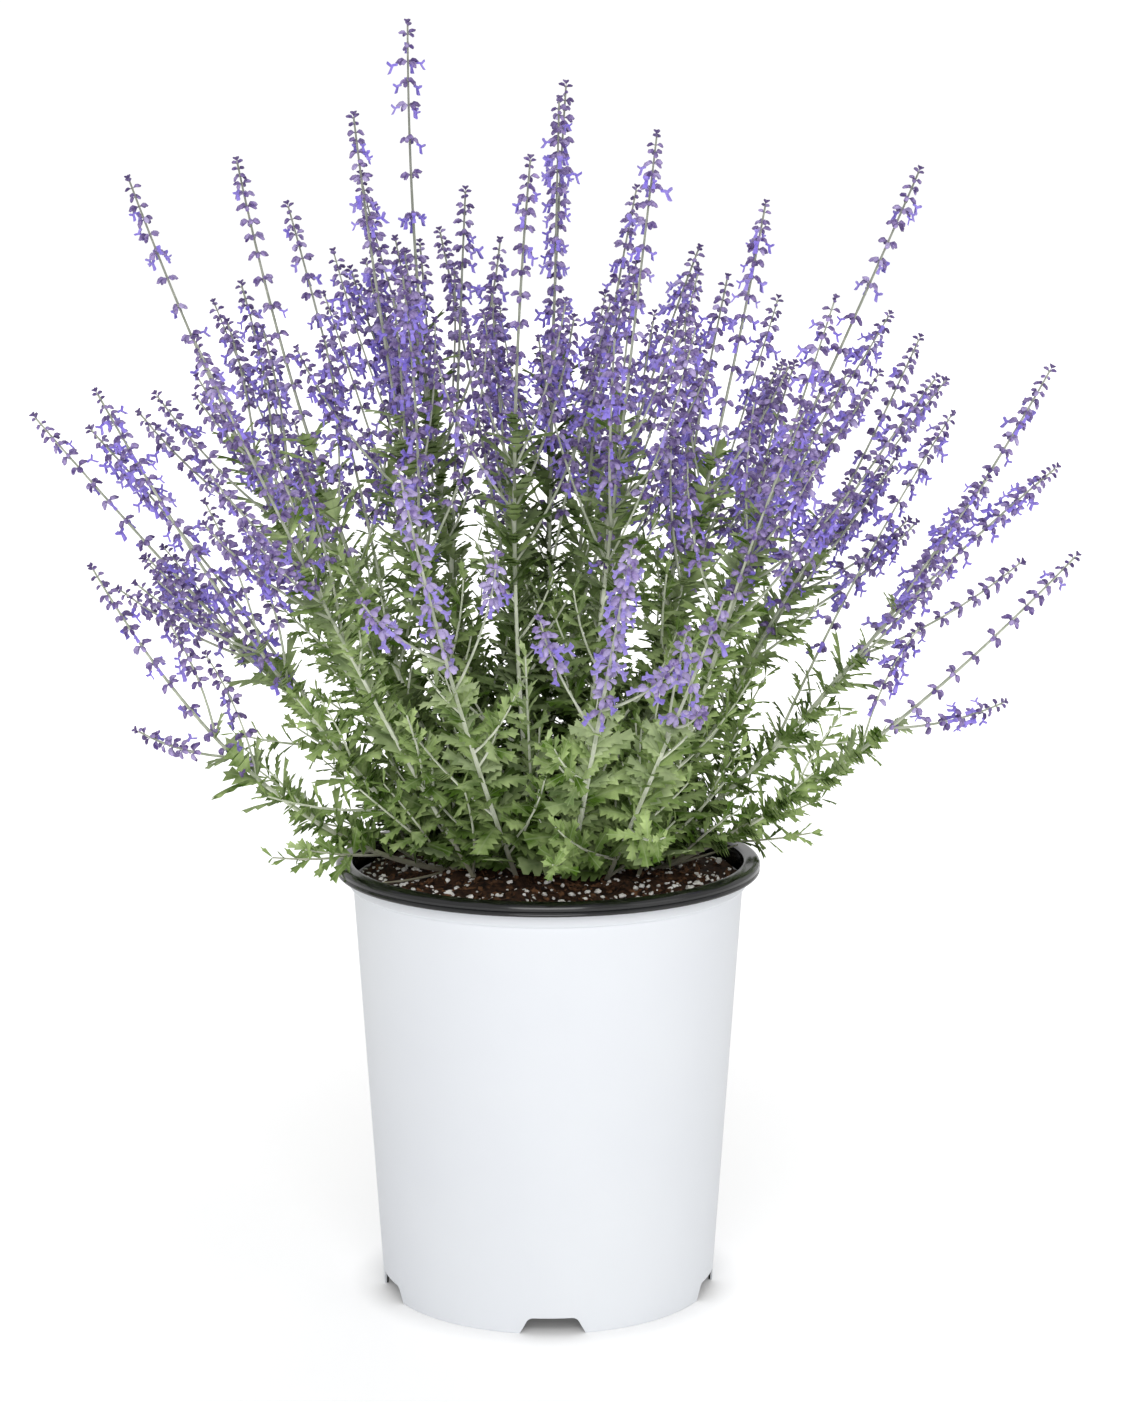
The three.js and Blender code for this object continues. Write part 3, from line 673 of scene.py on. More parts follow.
def cut_leaf(length, width, teeth, cut, lean, blunt=False):
    """A leaf as two rows of faces either side of its midrib, cut in between its teeth, over an
    underside of one row that meets them round the edge."""
    per_tooth = 3 if blunt else 2
    columns = per_tooth * teeth + 2
    leaf = begun("grid", x_subdivisions=columns, y_subdivisions=2, size=1)
    move(0.5, 0, 0)
    bpy.ops.transform.resize(value=(length, width, 1), center_override=(0, 0, 0))
    pitch = length / columns
    for column in range(columns, -1, -1):
        here = column * pitch
        beside = (column - 1) % per_tooth
        is_end = column in (0, columns)
        half = 0 if is_end else leaf_half_width(column / columns) * (1 if beside else 1 - cut)
        choose(leaf, "vertices", lambda ends: abs(ends[0].x - here) < pitch * 0.2)
        bpy.ops.transform.resize(value=(1, half, 1), center_override=(here, 0, 0))
        if is_end or not beside:
            continue
        outer = lambda ends: abs(ends[0].x - here) < pitch * 0.2 and abs(ends[0].y) > 0.01 * MM
        choose(leaf, "vertices", outer)
        forward = lean * (0.55 if blunt and beside == 1 else 1)
        move(forward * pitch, 0, 0)
    bpy.ops.mesh.select_all(action="SELECT")
    bpy.ops.mesh.remove_doubles(threshold=MERGE)
    leave_edit()
    bpy.ops.object.duplicate()
    underside = bpy.context.object
    edit_all()
    choose(underside, "edges", lambda ends: all(abs(end.y) < MERGE for end in ends))
    bpy.ops.mesh.dissolve_edges(use_verts=True)
    bpy.ops.mesh.select_all(action="SELECT")
    bpy.ops.mesh.flip_normals()
    leave_edit()
    leaf.select_set(True)
    bpy.ops.object.join()
    leaf = bpy.context.object
    edit_all()
    bpy.ops.mesh.remove_doubles(threshold=MERGE)
    choose(leaf, "vertices", lambda ends: abs(ends[0].y) < MERGE and 0 < ends[0].x < length * 0.99)
    move(0, 0, LEAF_THICKNESS)
    leave_edit()
    return Shape(leaf)


def placed_copies(shape, rows):
    """Copies of a leaf or flower, sized, folded along the middle, arched and placed."""
    point, ahead, across, up = (np.array([row[part] for row in rows]) for part in range(4))
    size, arch, fold, tone = (np.array([row[part] for row in rows])[:, None] for part in range(4, 8))
    x = shape.corners[None, :, 0] * size
    y = shape.corners[None, :, 1] * size
    reach = shape.corners[None, :, 0] / shape.length
    z = shape.corners[None, :, 2] * size - fold * np.abs(y) - arch * shape.length * size * reach**2
    placed = point[:, None] + x[..., None] * ahead[:, None]
    placed += y[..., None] * across[:, None] + z[..., None] * up[:, None]
    aside = shape.corners[None, :, 1] / shape.half_width
    return placed, np.stack([np.broadcast_to(part, x.shape) for part in (reach, aside, tone)], 2)


def drawn_tubes(runs):
    """Square stems drawn as curves. A run is its points and its half widths."""
    curve = bpy.data.curves.new("runs", "CURVE")
    curve.dimensions = "3D"
    curve.bevel_depth = MM
    curve.bevel_resolution = 0
    curve.use_fill_caps = True
    for points, halves in runs:
        spline = curve.splines.new("POLY")
        spline.points.add(len(points) - 1)
        spline.points.foreach_set("co", np.column_stack([points, np.ones(len(points))]).ravel())
        spline.points.foreach_set("radius", np.array(halves) * math.sqrt(2) / MM)
    tubes = bpy.data.objects.new("runs", curve)
    bpy.context.scene.collection.objects.link(tubes)
    only(tubes)
    bpy.ops.object.convert(target="MESH")
    return Shape(bpy.context.object)


def run_of(line, start, end, half_start, half_end, steps):
    shares = np.linspace(start, end, steps)
    return [line.point(share) for share in shares], np.linspace(half_start, half_end, steps)


# The kinds of leaf, from the broad ones at a stem's foot to the youngest
LEAF_SHAPES = (
    cut_leaf(length=24 * MM, width=10.5 * MM, teeth=5, cut=0.62, lean=1.0, blunt=True),
    cut_leaf(length=20 * MM, width=9 * MM, teeth=5, cut=0.64, lean=1.2),
    cut_leaf(length=15 * MM, width=6.4 * MM, teeth=3, cut=0.66, lean=1.2),
    cut_leaf(length=10 * MM, width=4.2 * MM, teeth=2, cut=0.6, lean=1.0),
    cut_leaf(length=7 * MM, width=2.4 * MM, teeth=1, cut=0.5, lean=0.8),
)
BROAD, CLEFT, NARROW, SMALL, YOUNG = range(5)


def clear_of_pot(point):
    """Whether a leaf tip is outside the rim, or high enough over the soil for it to show."""
    radius = math.hypot(point[0], point[1])
    if radius > RIM_RADIUS + CROWN_CLEARANCE:
        return True
    clearance = CROWN_CLEARANCE
    if radius > CROWN_RADIUS:
        clearance = OUTER_CLEARANCE + (radius - CROWN_RADIUS) / 4
    return point[2] - soil_height(point[0], point[1]) > clearance


def grow_leaf(rows, kind, frame_at, azimuth, rise, length, arch, fold, tone):
    """Adds a leaf, raised until its tip is clear of the pot, or leaves it out."""
    for _ in range(6):
        ahead, across, up = directions(frame_at, azimuth, rise)
        if clear_of_pot(frame_at[0] + ahead * length - up * arch * length):
            size = length / LEAF_SHAPES[kind].length
            rows[kind].append((frame_at[0], ahead, across, up, size, arch, fold, tone))
            return
        rise += math.radians(9)


def leafy_shoot(rows, runs, line, tone, chance):
    """A short side shoot with close pairs of leaves that get smaller to its tip."""
    runs.append(run_of(line, 0, 1, SHOOT_HALF, SHOOT_HALF * 0.5, 6))
    pairs = max(3, int(line.length() / SHOOT_LEAF_PITCH))
    for pair in range(1, pairs + 1):
        share = pair / pairs
        at = line.frame(min(share, 0.999))
        size = (17 - 9 * share) * MM * chance.uniform(0.8, 1.15)
        kind = NARROW if size > 13 * MM else SMALL if size > 8.5 * MM else YOUNG
        for turn in opposite(pair, chance):
            rise = math.radians(24 + 38 * share + 9 * chance.normal())
            arch = chance.uniform(0.05, 0.25)
            grow_leaf(rows, kind, at, turn, rise, size, arch, 0.25, tone + 0.15 * chance.normal())


def frame_foliage(rows, runs, index, line, bloom, surface, chance):
    """The frame's own leaves and shoots, each where the frame holds it."""
    for order, (height, count, millimetres, degrees, arch) in enumerate(FOLIAGE):
        at = line.frame(bloom * height)
        length = millimetres * MM
        for side in range(count):
            rise = math.radians(degrees + RISE_RANGE * spread(index + order, side))

            def tip_at(azimuth):
                ahead, _, up = directions(at, azimuth, rise)
                return at[0] + length * (ahead - up * arch)

            start = math.pi * side + QUARTER * (order + index)
            if count == 1:
                start = 2 * math.pi * spread(index, order)
            azimuths = [leaned(start + turn) for turn in TURNS]
            azimuth = azimuth_in_frame(surface, azimuths, tip_at, 0.7 * MM)
            if azimuth is None:
                continue
            if count == 1:
                ahead, across, up = directions(at, azimuth, rise)
                shoot = Line(at[0], at[0] + ahead * length / 2, tip_at(azimuth), across)
                leafy_shoot(rows, runs, shoot, 0.1 + 0.5 * height, chance)
            else:
                kind = min(order // 2, NARROW)
                tone = chance.uniform(0.2, 0.8)
                grow_leaf(rows, kind, at, azimuth, rise, length * 0.97, arch, 0.18, tone)


def leafy_stem(index, stem, finishes):
    chance = np.random.default_rng(100 + index)
    foot, bend, tip, bloom = stem[:4]
    line = stem_line(foot, bend, tip)
    node = f"stem_{index + 1:02d}"
    rows = [[] for _ in LEAF_SHAPES]
    point, along, _, _ = line.frame(0)
    buried = point - along * STEM_DEPTH_IN_SOIL
    points, halves = run_of(line, 0, bloom, STEM_FOOT_HALF, STEM_BLOOM_HALF, 14)
    runs = [([buried, *points], [STEM_FOOT_HALF, *halves])]
    frame_foliage(rows, runs, index, line, bloom, surface_of(node), chance)

    # Close pairs of leaves between them, with tufts in their axils
    in_front = foot[1] < -20
    behind = foot[1] > 30
    outer = index in OUTER_STEMS
    bare_side = FRONT_BARE_SIDE if in_front else BARE_SIDE
    pairs = int(line.length() * bloom / LEAF_PITCH)
    for pair in range(pairs):
        height = (pair + 0.6) / pairs
        if outer and height > OUTER_BARE and pair % 2:
            continue
        at = line.frame(bloom * height)
        for azimuth in opposite(pair + 0.5, chance, 0.35):
            azimuth = off_bare_side(azimuth, bare_side)
            zone = height + 0.12 * chance.normal()
            kind = BROAD if zone < 0.2 else CLEFT if zone < 0.6 else NARROW
            length = (LEAF_AT_FOOT - LEAF_SHORTENING * height) * MM * chance.uniform(0.7, 1.15)
            rise = math.radians(16 + 30 * height + 13 * chance.normal())
            tone = 0.05 + 0.65 * height + 0.2 * chance.normal() + (OUTER_TONE if outer else 0)
            arch = chance.uniform(0.08, 0.42)
            fold = chance.uniform(0.12, 0.4)
            grow_leaf(rows, kind, at, azimuth, rise, length, arch, fold, tone)
            for kind, sizes in TUFT:
                aside = off_bare_side(azimuth + 0.8 * chance.normal(), bare_side)
                rise = math.radians(44 + 17 * chance.normal())
                length = chance.uniform(*sizes) * MM
                arch = chance.uniform(0, 0.25)
                grow_leaf(rows, kind, at, aside, rise, length, arch, 0.3, tone + 0.15)

    # Further leafy shoots from the axils
    for count, height in enumerate(SHOOT_HEIGHTS):
        if (in_front or outer) and count % 2 or outer and height > OUTER_BARE:
            continue
        azimuth = off_bare_side(2 * math.pi * spread(index, count + 0.4), bare_side)
        length = chance.uniform(*SHOOT_LENGTHS) * MM * (1 - SHOOT_SHORTENING * height)
        length *= BACK_SHOOTS_LONGER if behind else 1
        shoot = branch_line(line.frame(bloom * height), azimuth, length, SHOOT_BEND, SHOOT_TIP)
        leafy_shoot(rows, runs, shoot, 0.1 + 0.5 * height, chance)
    if index in LEAFY_SIDES:
        side_tip = np.array(LEAFY_SIDES[index]) * MM
        side_bend = (point + side_tip) / 2 - (0, LEAFY_SIDE_SAG, 0)
        leafy_shoot(rows, runs, Line(point, side_bend, side_tip, (1, 0, 0)), 0.75, chance)

    tubes = drawn_tubes(runs)
    height = (tubes.corners[:, 2] - SOIL_EDGE_HEIGHT) / (100 * MM)
    growth = np.column_stack([np.clip(height, 0, 1), height * 0, height * 0 + spread(index)])
    batches = [(tubes, tubes.corners[None], 0, growth[None])]
    for shape, copies in zip(LEAF_SHAPES, rows):
        if copies:
            placed, carried = placed_copies(shape, copies)
            batches.append((shape, placed, 1, carried))
    gathered(f"leafy_stem_{index + 1:02d}", batches, finishes, 55, node)


def growth_value(tree, part):
    """One of the three values that every corner of a grown piece carries."""
    carried = added(tree, "Attribute", attribute_name="growth").outputs["Vector"]
    return added(tree, "SeparateXYZ", Vector=carried).outputs[part]


def ranged(tree, value, low, high, to_low, to_high):
    """A value stretched from one range to another and held at its ends."""
    limits = {"From_Min": low, "From_Max": high, "To_Min": to_low, "To_Max": to_high}
    return added(tree, "MapRange", Value=value, **limits).outputs["Result"]


def calculated(tree, operation, *values):
    step = added(tree, "Math", operation=operation)
    for socket, value in zip(step.inputs, values):
        if isinstance(value, float):
            socket.default_value = value
        else:
            tree.links.new(value, socket)
    return step.outputs["Value"]


def distance_out(tree):
    """How far out from the pot's axis a place is."""
    level = added(tree, "VectorMath", operation="MULTIPLY")
    level.inputs[1].default_value = (1, 1, 0)
    tree.links.new(added(tree, "TexCoord").outputs["Object"], level.inputs[0])
    length = added(tree, "VectorMath", operation="LENGTH", Vector=level.outputs["Vector"])
    return length.outputs["Value"]


def tinted(material, factor, colour):
    """Mixes a further colour into the base colour."""
    tree = material.node_tree
    socket = tree.nodes["Principled BSDF"].inputs["Base Color"]
    under = socket.links[0].from_socket
    mix = added(tree, "Mix", data_type="RGBA", Factor=factor, A=under, B=paint(*colour))
    tree.links.new(mix.outputs["Result"], socket)


def tinted_along(material, part, low, high, share, colour):
    """Mixes a colour in, up to a share, as what the corners carry goes from low to high."""
    tree = material.node_tree
    tinted(material, ranged(tree, growth_value(tree, part), low, high, 0, share), colour)


def leaf_finish():
    """Green with silvery down, pale veins, and painted shade: a deeper green towards the pot's axis."""
    material = mottled_finish(
        "downy leaf", (76, 108, 28), (190, 212, 142),
        coarse=90, fine=2200, relief=0.15 * MM, Roughness=0.68, Specular_IOR_Level=0.03,
    )
    tree = material.node_tree
    tinted_along(material, "Z", 0.45, 1.1, 0.75, (204, 216, 178))
    tinted_along(material, "Z", 0.35, -0.2, 0.6, (74, 108, 24))
    from_rib = calculated(tree, "ABSOLUTE", growth_value(tree, "Y"))
    veins = calculated(tree, "MULTIPLY_ADD", from_rib, -1.3, growth_value(tree, "X"))
    wave = calculated(tree, "SINE", calculated(tree, "MULTIPLY", veins, 38.0))
    vein = ranged(tree, wave, 0.82, 1.0, 0, 0.25)
    rib = ranged(tree, from_rib, 0.11, 0.03, 0, 0.5)
    tinted(material, calculated(tree, "MAXIMUM", vein, rib), (172, 190, 142))
    # Painted shade: leaves darken towards the middle of the plant, where shade falls.
    painted_shade_near_axis = ranged(tree, distance_out(tree), 85 * MM, 12 * MM, 0, 0.72)
    tinted(material, painted_shade_near_axis, (44, 66, 14))
    return material


silvery_stem = mottled_finish(
    "silvery stem", (204, 212, 184), (234, 238, 220),
    coarse=120, fine=3000, relief=0.2 * MM, Roughness=0.75, Sheen_Weight=0.3, Sheen_Roughness=0.5,
)
tinted_along(silvery_stem, "X", 0.35, 0.02, 0.85, (122, 108, 80))
downy_leaf = leaf_finish()
for index, stem in enumerate(STEMS):
    leafy_stem(index, stem, [silvery_stem, downy_leaf])


# Flower sprays
# Each stem ends in an open spray: one long raceme above pairs of side racemes. Every raceme has
# whorls of woolly grey-violet calyces in two drooping clusters, each whorl turned a quarter from
# the last, and many calyces hold an open floret with one lip up and one down.
SPRAY_TIP_HALF = 0.3 * MM
SIDE_AXIS_HALF = 0.45 * MM
JOIN_SHARE = 0.001
# Shares of a whorl's calyces that are open, and how far on whole racemes are
OPEN_SHARES = (0.1, 0.3, 0.6)
FRONT_OPEN = (0.2, 0.4, 0.7)
OPENNESS = (0.3, 0.8, 1.5)
# The tone and size of the flowers, in front and elsewhere; the lighter tone of the front sprays is
# painted light
FRONT_PAINTED_LIGHT_AND_SIZE = (0.95, 1.08)
GROWTH = (0.5, 1.0)
# Rings of a calyx from its foot: along it, half width and lift, in millimetres
CALYX_RINGS = ((-0.2, 0.001, 0), (1.5, 0.42, 0.4), (2.7, 1.15, 0.3), (4.1, 1.2, -0.5), (5.1, 0.001, -1.2))
# The lumps of one side of a whorl, few near the tip: each one's turn, rise and size
LUMPS = {
    1: ((0, 0, 1),),
    2: ((-0.42, 8, 1), (0.48, -10, 0.9)),
    3: ((-0.8, -8, 0.88), (0, 10, 1), (0.8, -3, 0.86)),
}
ONE_LUMP_WITHIN = 4 * MM
TWO_LUMPS_WITHIN = 15 * MM
# Whorls are further apart on some stems
SPARSE_STEMS = {8: 1.5, 3: 1.2, 18: 1.2, 10: 1.15, 14: 1.15, 16: 1.15, 24: 0.85, 25: 2.3}
FIRST_STEP = 2.1 * MM
GREATEST_STEP = 11.5 * MM
# Side racemes, those of the frame and those between them: places, lengths, bends and tips
SIDE_PLACES = (0, 0.6, 1, 1.8)
SIDE_CHANCE = 0.56
OUTER_SIDE_CHANCE = 0.3
FRAME_LOWEST = 0.05
FRAME_STEP = 0.13
FRAME_SIDE_LENGTH = 0.5
SIDE_LENGTH = 0.62
SIDE_SHORTENING = 0.09
SIDE_BEND = (0.36, 0.42)
SIDE_TIP = (0.5, 0.92)
# Narrow leaves among the lowest flowers
BRACT_PAIRS = 14
OUTER_BRACT_PAIRS = 3


def calyx_shape():
    """A woolly bell on a thin stalk that arches out and down."""
    profile = [(half_width * MM, along * MM) for along, half_width, _ in CALYX_RINGS]
    calyx = turned_wall("calyx", profile, 5)
    calyx.rotation_euler.y = math.pi / 2
    only(calyx)
    bpy.ops.object.transform_apply(rotation=True)
    edit_all()
    for along, _, lift in CALYX_RINGS:
        choose(calyx, "vertices", lambda ends: abs(ends[0].x - along * MM) < 0.1 * MM)
        move(0, 0, lift * MM)
    leave_edit()
    return Shape(calyx)


def floret_shape():
    """A violet tube that opens into a short upper lip, held out, and a long, hanging lower lip."""
    floret = begun("cube", size=1)
    bpy.ops.transform.resize(value=(2.2 * MM, 1.1 * MM, 1.0 * MM))
    move(4.7 * MM, 0, -1.5 * MM)
    bpy.ops.mesh.bisect(plane_co=(5 * MM, 0, 0), plane_no=(1, 0, 0))
    for beyond, drop in ((4.9, 0.4), (5.7, 0.5)):
        choose(floret, "vertices", lambda ends: ends[0].x > beyond * MM)
        move(0, 0, -drop * MM)
    mouth = lambda corners: all(c.x > 5.7 * MM for c in corners)
    throat = lambda corners: all(4.9 * MM < c.x < 5.9 * MM and c.z < -2.3 * MM for c in corners)
    lips = (
        (mouth, (1.6 * MM, 0, 0.9 * MM), (1, 1.8, 0.9)),
        (throat, (0.7 * MM, 0, -2.7 * MM), (1, 1.7, 1)),
    )
    for lip, reach, widen in lips:
        choose(floret, "polygons", lip)
        bpy.ops.mesh.extrude_region_move(TRANSFORM_OT_translate={"value": reach})
        bpy.ops.transform.resize(value=widen)
    leave_edit()
    return Shape(floret)


calyx_form = calyx_shape()
floret_form = floret_shape()


def set_round(rows, frame_at, azimuth, rise, size, tone):
    """Adds a copy that stands out from its axis at an azimuth, raised or drooping."""
    rows.append((frame_at[0], *directions(frame_at, azimuth, rise), size, 0, 0, tone))


def dress_raceme(calyces, florets, line, start, length, bare, spacing, growth, chance):
    """Whorls from a raceme's tip down, close buds first. Growth is its flowers' tone and size."""
    shade, fullness = growth
    turn = math.pi / 4 + 0.25 * chance.normal()
    for bud in range(3):
        set_round(calyces, line.frame(1), turn + 2.1 * bud, math.radians(72), 0.58, shade - 0.5)
    widening = chance.uniform(0.15, 0.23)
    openness = 1 if fullness > 1 else chance.choice(OPENNESS)
    distance = 1.2 * MM
    while distance < length - bare:
        at = line.frame(1 - (1 - start) * distance / length)
        ripe = min(0.97, 0.64 + distance / (50 * MM))
        lumps = LUMPS[1 if distance < ONE_LUMP_WITHIN else 2 if distance < TWO_LUMPS_WITHIN else 3]
        open_share = 0 if ripe < 0.8 else chance.choice(FRONT_OPEN if fullness > 1 else OPEN_SHARES)
        for side in range(2):
            for offset, lift, part in lumps:
                azimuth = turn + math.pi * side + offset + 0.15 * chance.normal()
                rise = math.radians(14 - 12 * ripe + lift + 8 * chance.normal())
                rise += math.radians(max(0, 50 - distance / MM * 10))
                size = fullness * ripe * part * chance.uniform(0.94, 1.18)
                tone = shade - 0.3 * max(0, 1 - distance / (14 * MM)) + 0.24 * chance.normal()
                set_round(calyces, at, azimuth, rise, size, tone)
                if chance.random() < open_share * openness:
                    set_round(florets, at, azimuth, rise, size * chance.uniform(0.9, 1.15), tone)
        step = min(GREATEST_STEP, FIRST_STEP + widening * distance)
        distance += spacing * fullness * chance.uniform(0.85, 1.15) * step
        turn += QUARTER


def flower_spray(index, stem, finishes):
    chance = np.random.default_rng(500 + index)
    foot, bend, tip, bloom, *branch_tips = stem
    line = stem_line(foot, bend, tip)
    node = f"spray_{index + 1:02d}"
    surface = surface_of(node)
    main_length = line.length() * (1 - bloom)
    spacing = SPARSE_STEMS.get(index, 1.0)
    in_front = tip[1] < -120
    growth = FRONT_PAINTED_LIGHT_AND_SIZE if in_front else GROWTH
    outer = in_front or index in OUTER_STEMS
    side_chance = SIDE_CHANCE * (0 if in_front else OUTER_SIDE_CHANCE if outer else 1)
    calyces, florets, bracts = [], [], {NARROW: []}
    runs = [run_of(line, bloom + JOIN_SHARE, 1, STEM_BLOOM_HALF, SPRAY_TIP_HALF, 20)]
    bare_foot = 12 * MM if outer else chance.uniform(20, 60) * MM
    dress_raceme(calyces, florets, line, bloom, main_length, bare_foot, spacing, growth, chance)

    def raceme_on(branch, half, steps, most_bare):
        """Adds a branch with its whorls. Its foot stays bare for the length given back."""
        runs.append(run_of(branch, 0, 1, half, SPRAY_TIP_HALF, steps))
        bare = branch.length() * (chance.uniform(0.2, most_bare) + (0.2 if in_front else 0))
        dress_raceme(calyces, florets, branch, 0, branch.length(), bare, 1.0, growth, chance)
        return bare

    def side_raceme(at, aside, length, bend, tip):
        raceme_on(branch_line(at, aside, length, bend, tip), SIDE_AXIS_HALF, 9, 0.5)
        for _ in range(3):
            small = chance.uniform(8, 15) * MM
            turned = aside + 0.8 * chance.normal()
            grow_leaf(bracts, NARROW, at, turned, 0.7, small, 0.2, 0.3, 0.8)

    for count in SIDE_PLACES:
        at = line.frame(bloom + (1 - bloom) * (FRAME_LOWEST + FRAME_STEP * count))
        frame_length = main_length * (FRAME_SIDE_LENGTH - SIDE_SHORTENING * count)
        start = math.pi * (count + spread(index))
        in_frame = None
        if count in (0, 1):
            tip_at = lambda azimuth: branch_line(at, azimuth, frame_length, SIDE_BEND, SIDE_TIP).tip
            azimuths = [start + turn for turn in TURNS]
            in_frame = azimuth_in_frame(surface, azimuths, tip_at, 0.3 * MM)
        if in_frame is not None:
            side_raceme(at, in_frame, frame_length, SIDE_BEND, SIDE_TIP)
        for side in range(2):
            if side == 0 and in_frame is not None or chance.random() > side_chance:
                continue
            aside = (in_frame or start) + math.pi * side + 0.25 * chance.normal()
            narrow = chance.uniform(0.5, 0.85)
            reach = main_length * (SIDE_LENGTH - SIDE_SHORTENING * count) * chance.uniform(0.75, 1.1)
            side_bend = (SIDE_BEND[0] * narrow, SIDE_BEND[1])
            side_raceme(at, aside, reach, side_bend, (SIDE_TIP[0] * narrow, SIDE_TIP[1]))

    for pair in range(0 if in_front else OUTER_BRACT_PAIRS if outer else BRACT_PAIRS):
        place = line.frame(bloom + 0.01 + 0.016 * pair)
        for turned in opposite(pair, chance):
            rise = 0.75 + 0.2 * chance.normal()
            slender = chance.uniform(12, 27 - 0.6 * pair) * MM
            tone = 0.3 + 0.5 * chance.random()
            grow_leaf(bracts, NARROW, place, turned, rise, slender, 0.15, 0.3, tone)

    # Long branches that leave the stem among its leaves
    for count, branch_tip in enumerate(branch_tips):
        at = line.frame(bloom * (0.7 + 0.15 * count))
        way = np.array(branch_tip) * MM - at[0]
        branch_bend = at[0] + way * (0.42, 0.42, 0.52)
        branch = Line(at[0], branch_bend, at[0] + way, np.cross(at[1], unit(way)))
        bare = raceme_on(branch, SIDE_AXIS_HALF * 1.3, 12, 0.4)
        pairs = int(bare / (7 * MM))
        for pair in range(1, pairs):
            place = branch.frame(bare / branch.length() * pair / pairs)
            for turned in opposite(pair, chance):
                small = chance.uniform(6, 12) * MM
                grow_leaf(bracts, NARROW, place, turned, 0.7, small, 0.2, 0.3, 0.5)

    tubes = drawn_tubes(runs)
    carried = np.zeros((len(tubes.corners), 3))
    carried[:, 0] = (tubes.corners[:, 2] - 300 * MM) / (200 * MM)
    batches = [(tubes, tubes.corners[None], 0, carried[None])]
    copies = ((calyx_form, calyces), (floret_form, florets), (LEAF_SHAPES[NARROW], bracts[NARROW]))
    for number, (shape, rows) in enumerate(copies, 1):
        placed, carried = placed_copies(shape, rows)
        batches.append((shape, placed, number, carried))
    gathered(f"flower_spray_{index + 1:02d}", batches, finishes, 60, node)


grey_axis = mottled_finish(
    "grey-green axis", (172, 181, 156), (204, 209, 188),
    coarse=160, fine=3000, relief=0.15 * MM, Roughness=0.8, Sheen_Weight=0.3,
)
tinted_along(grey_axis, "X", 0.2, 1.0, 0.6, (100, 98, 98))
woolly_calyx = mottled_finish(
    "woolly calyx", (94, 73, 136), (176, 157, 210),
    coarse=380, fine=4000, relief=0.25 * MM, Roughness=0.85, Specular_IOR_Level=0.12,
    Sheen_Weight=0.35, Sheen_Roughness=0.6, Sheen_Tint=paint(200, 190, 226),
)
tinted_along(woolly_calyx, "X", 0.45, 0.1, 0.6, (130, 122, 126))
tinted_along(woolly_calyx, "Z", 0.5, -0.1, 0.75, (72, 56, 102))
# Higher tones are lighter; on the front sprays this is painted light
tinted_along(woolly_calyx, "Z", 0.55, 1.1, 0.8, (202, 190, 232))
violet_floret = mottled_finish(
    "violet floret", (124, 106, 212), (162, 144, 234),
    coarse=260, fine=3000, relief=0.1 * MM, Roughness=0.6, Specular_IOR_Level=0.2, Sheen_Weight=0.2,
)
# Higher tones are lighter; on the front sprays this is painted light
tinted_along(violet_floret, "Z", 0.4, 1.2, 0.8, (172, 158, 222))
for index, stem in enumerate(STEMS):
    flower_spray(index, stem, [grey_axis, woolly_calyx, violet_floret, downy_leaf])


# Floor and light
# The pot stands on a plain white floor in soft light from all round, with one large lamp in
# front above the camera, a weak one on the right and one behind. Far off, the floor itself glows.
FLOOR_RADIUS = 9
FLOOR_WHITE = 0.86
# From one distance out to another, how far the floor glows at the pot's foot and beyond. The glow fades
# towards the foot, which paints a shadow round and under the pot.
FOOT_GLOW_PAINTED_SHADOW = (66 * MM, 90 * MM, 0.08, 0.36)
FAR_GLOW = (100 * MM, 1600 * MM, 0, 0.63)
GLOW_ON_PLANT = 0.6
SURROUND_LIGHT = 0.43
SURROUND_SEEN = 1.05
SURROUND_IN_GLOSS = 0.5


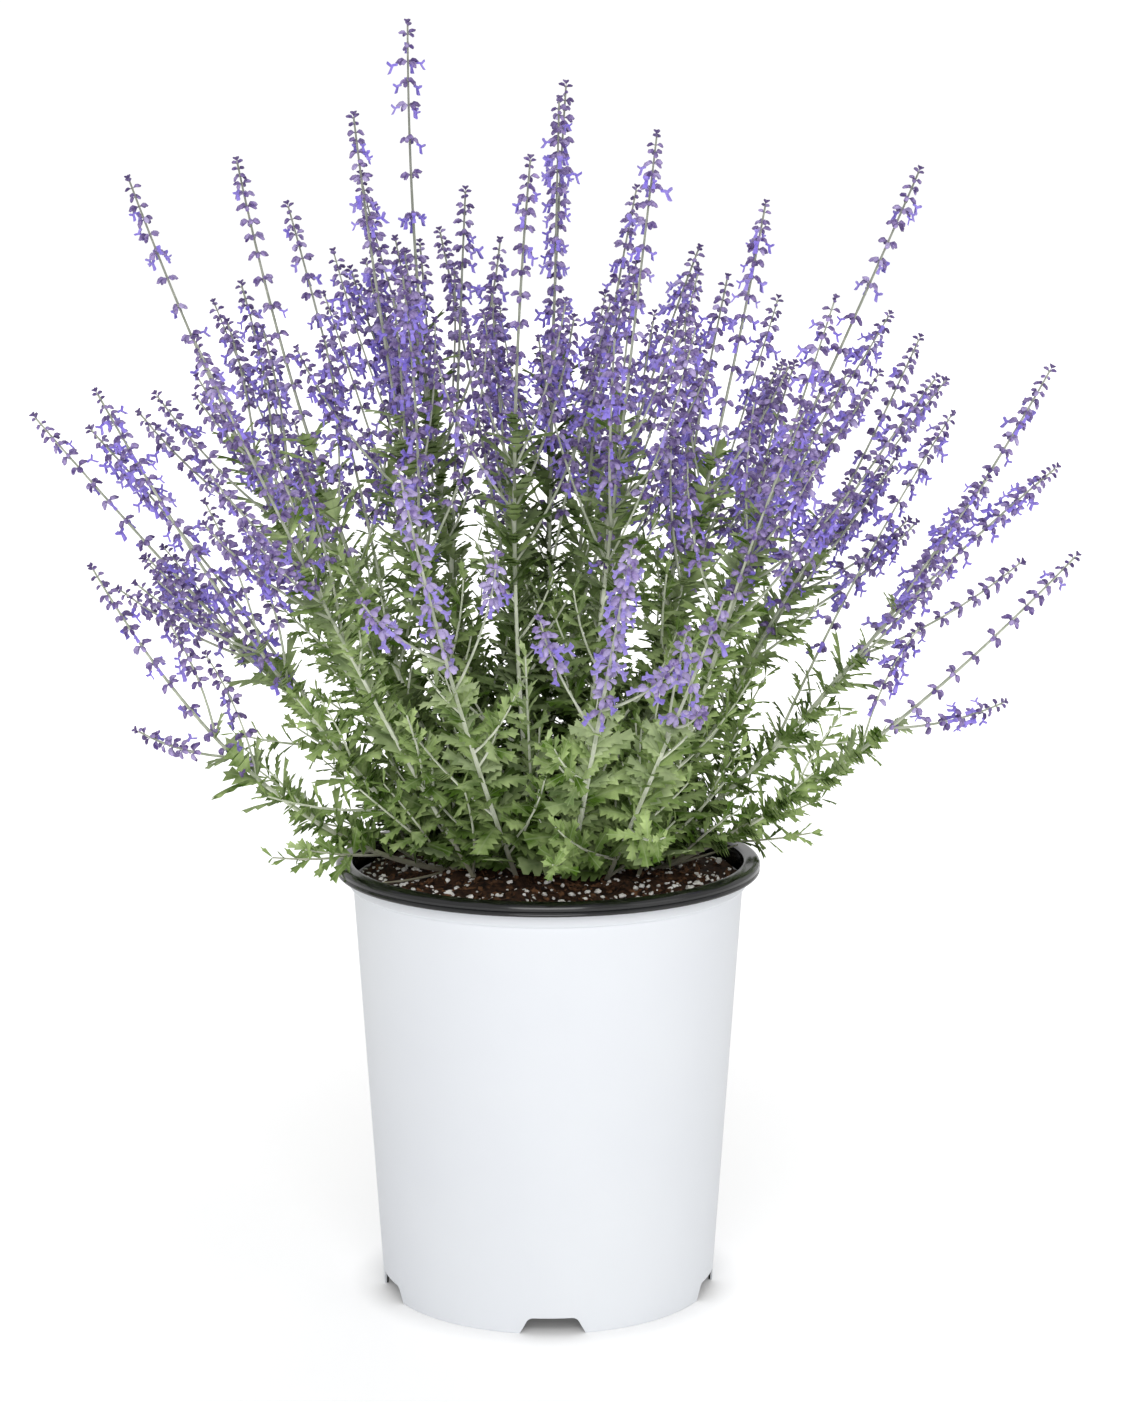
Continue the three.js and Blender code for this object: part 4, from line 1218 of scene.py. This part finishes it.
def floor_finish():
    material = bpy.data.materials.new("pale floor")
    material.use_nodes = True
    tree = material.node_tree
    shader = tree.nodes["Principled BSDF"]
    shader.inputs["Base Color"].default_value = (*[FLOOR_WHITE] * 3, 1)
    shader.inputs["Roughness"].default_value = 0.8
    shader.inputs["Emission Color"].default_value = (1, 1, 1, 1)
    distance = distance_out(tree)
    glow = calculated(tree, "ADD", ranged(tree, distance, *FOOT_GLOW_PAINTED_SHADOW), ranged(tree, distance, *FAR_GLOW))
    seen = added(tree, "LightPath").outputs["Is Camera Ray"]
    share = ranged(tree, seen, 0, 1, GLOW_ON_PLANT, 1)
    strength = calculated(tree, "MULTIPLY", glow, share)
    tree.links.new(strength, shader.inputs["Emission Strength"])
    return material


def soft_lamp(name, place, size, power):
    """A square lamp that faces the middle of the plant."""
    lamp = bpy.data.lights.new(name, "AREA")
    lamp.size = size
    lamp.energy = power
    holder = bpy.data.objects.new(name, lamp)
    holder.location = place
    aim = Vector((0, 0, 0.25)) - holder.location
    holder.rotation_euler = aim.to_track_quat("-Z", "Y").to_euler()
    bpy.context.scene.collection.objects.link(holder)


floor = begun("circle", vertices=64, radius=FLOOR_RADIUS, fill_type="NGON")
leave_edit()
floor.name = "floor"
floor.data.materials.append(floor_finish())
soft_lamp("key lamp", place=(0.0, -2.3, 1.45), size=1.6, power=29)
soft_lamp("fill lamp", place=(1.8, -1.0, 1.0), size=1.2, power=3)
soft_lamp("back lamp", place=(0.4, 1.6, 2.2), size=1.4, power=9)

surroundings = bpy.data.worlds.new("white studio")
surroundings.use_nodes = True
tree = surroundings.node_tree
background = tree.nodes["Background"].inputs
background["Color"].default_value = (1, 1, 1, 1)
seen = added(tree, "LightPath").outputs
shiny = calculated(tree, "MULTIPLY", seen["Is Glossy Ray"], SURROUND_IN_GLOSS)
shown = calculated(tree, "MAXIMUM", seen["Is Camera Ray"], shiny)
tree.links.new(ranged(tree, shown, 0, 1, SURROUND_LIGHT, SURROUND_SEEN), background["Strength"])
bpy.context.scene.world = surroundings
bpy.context.scene.view_settings.view_transform = "Standard"
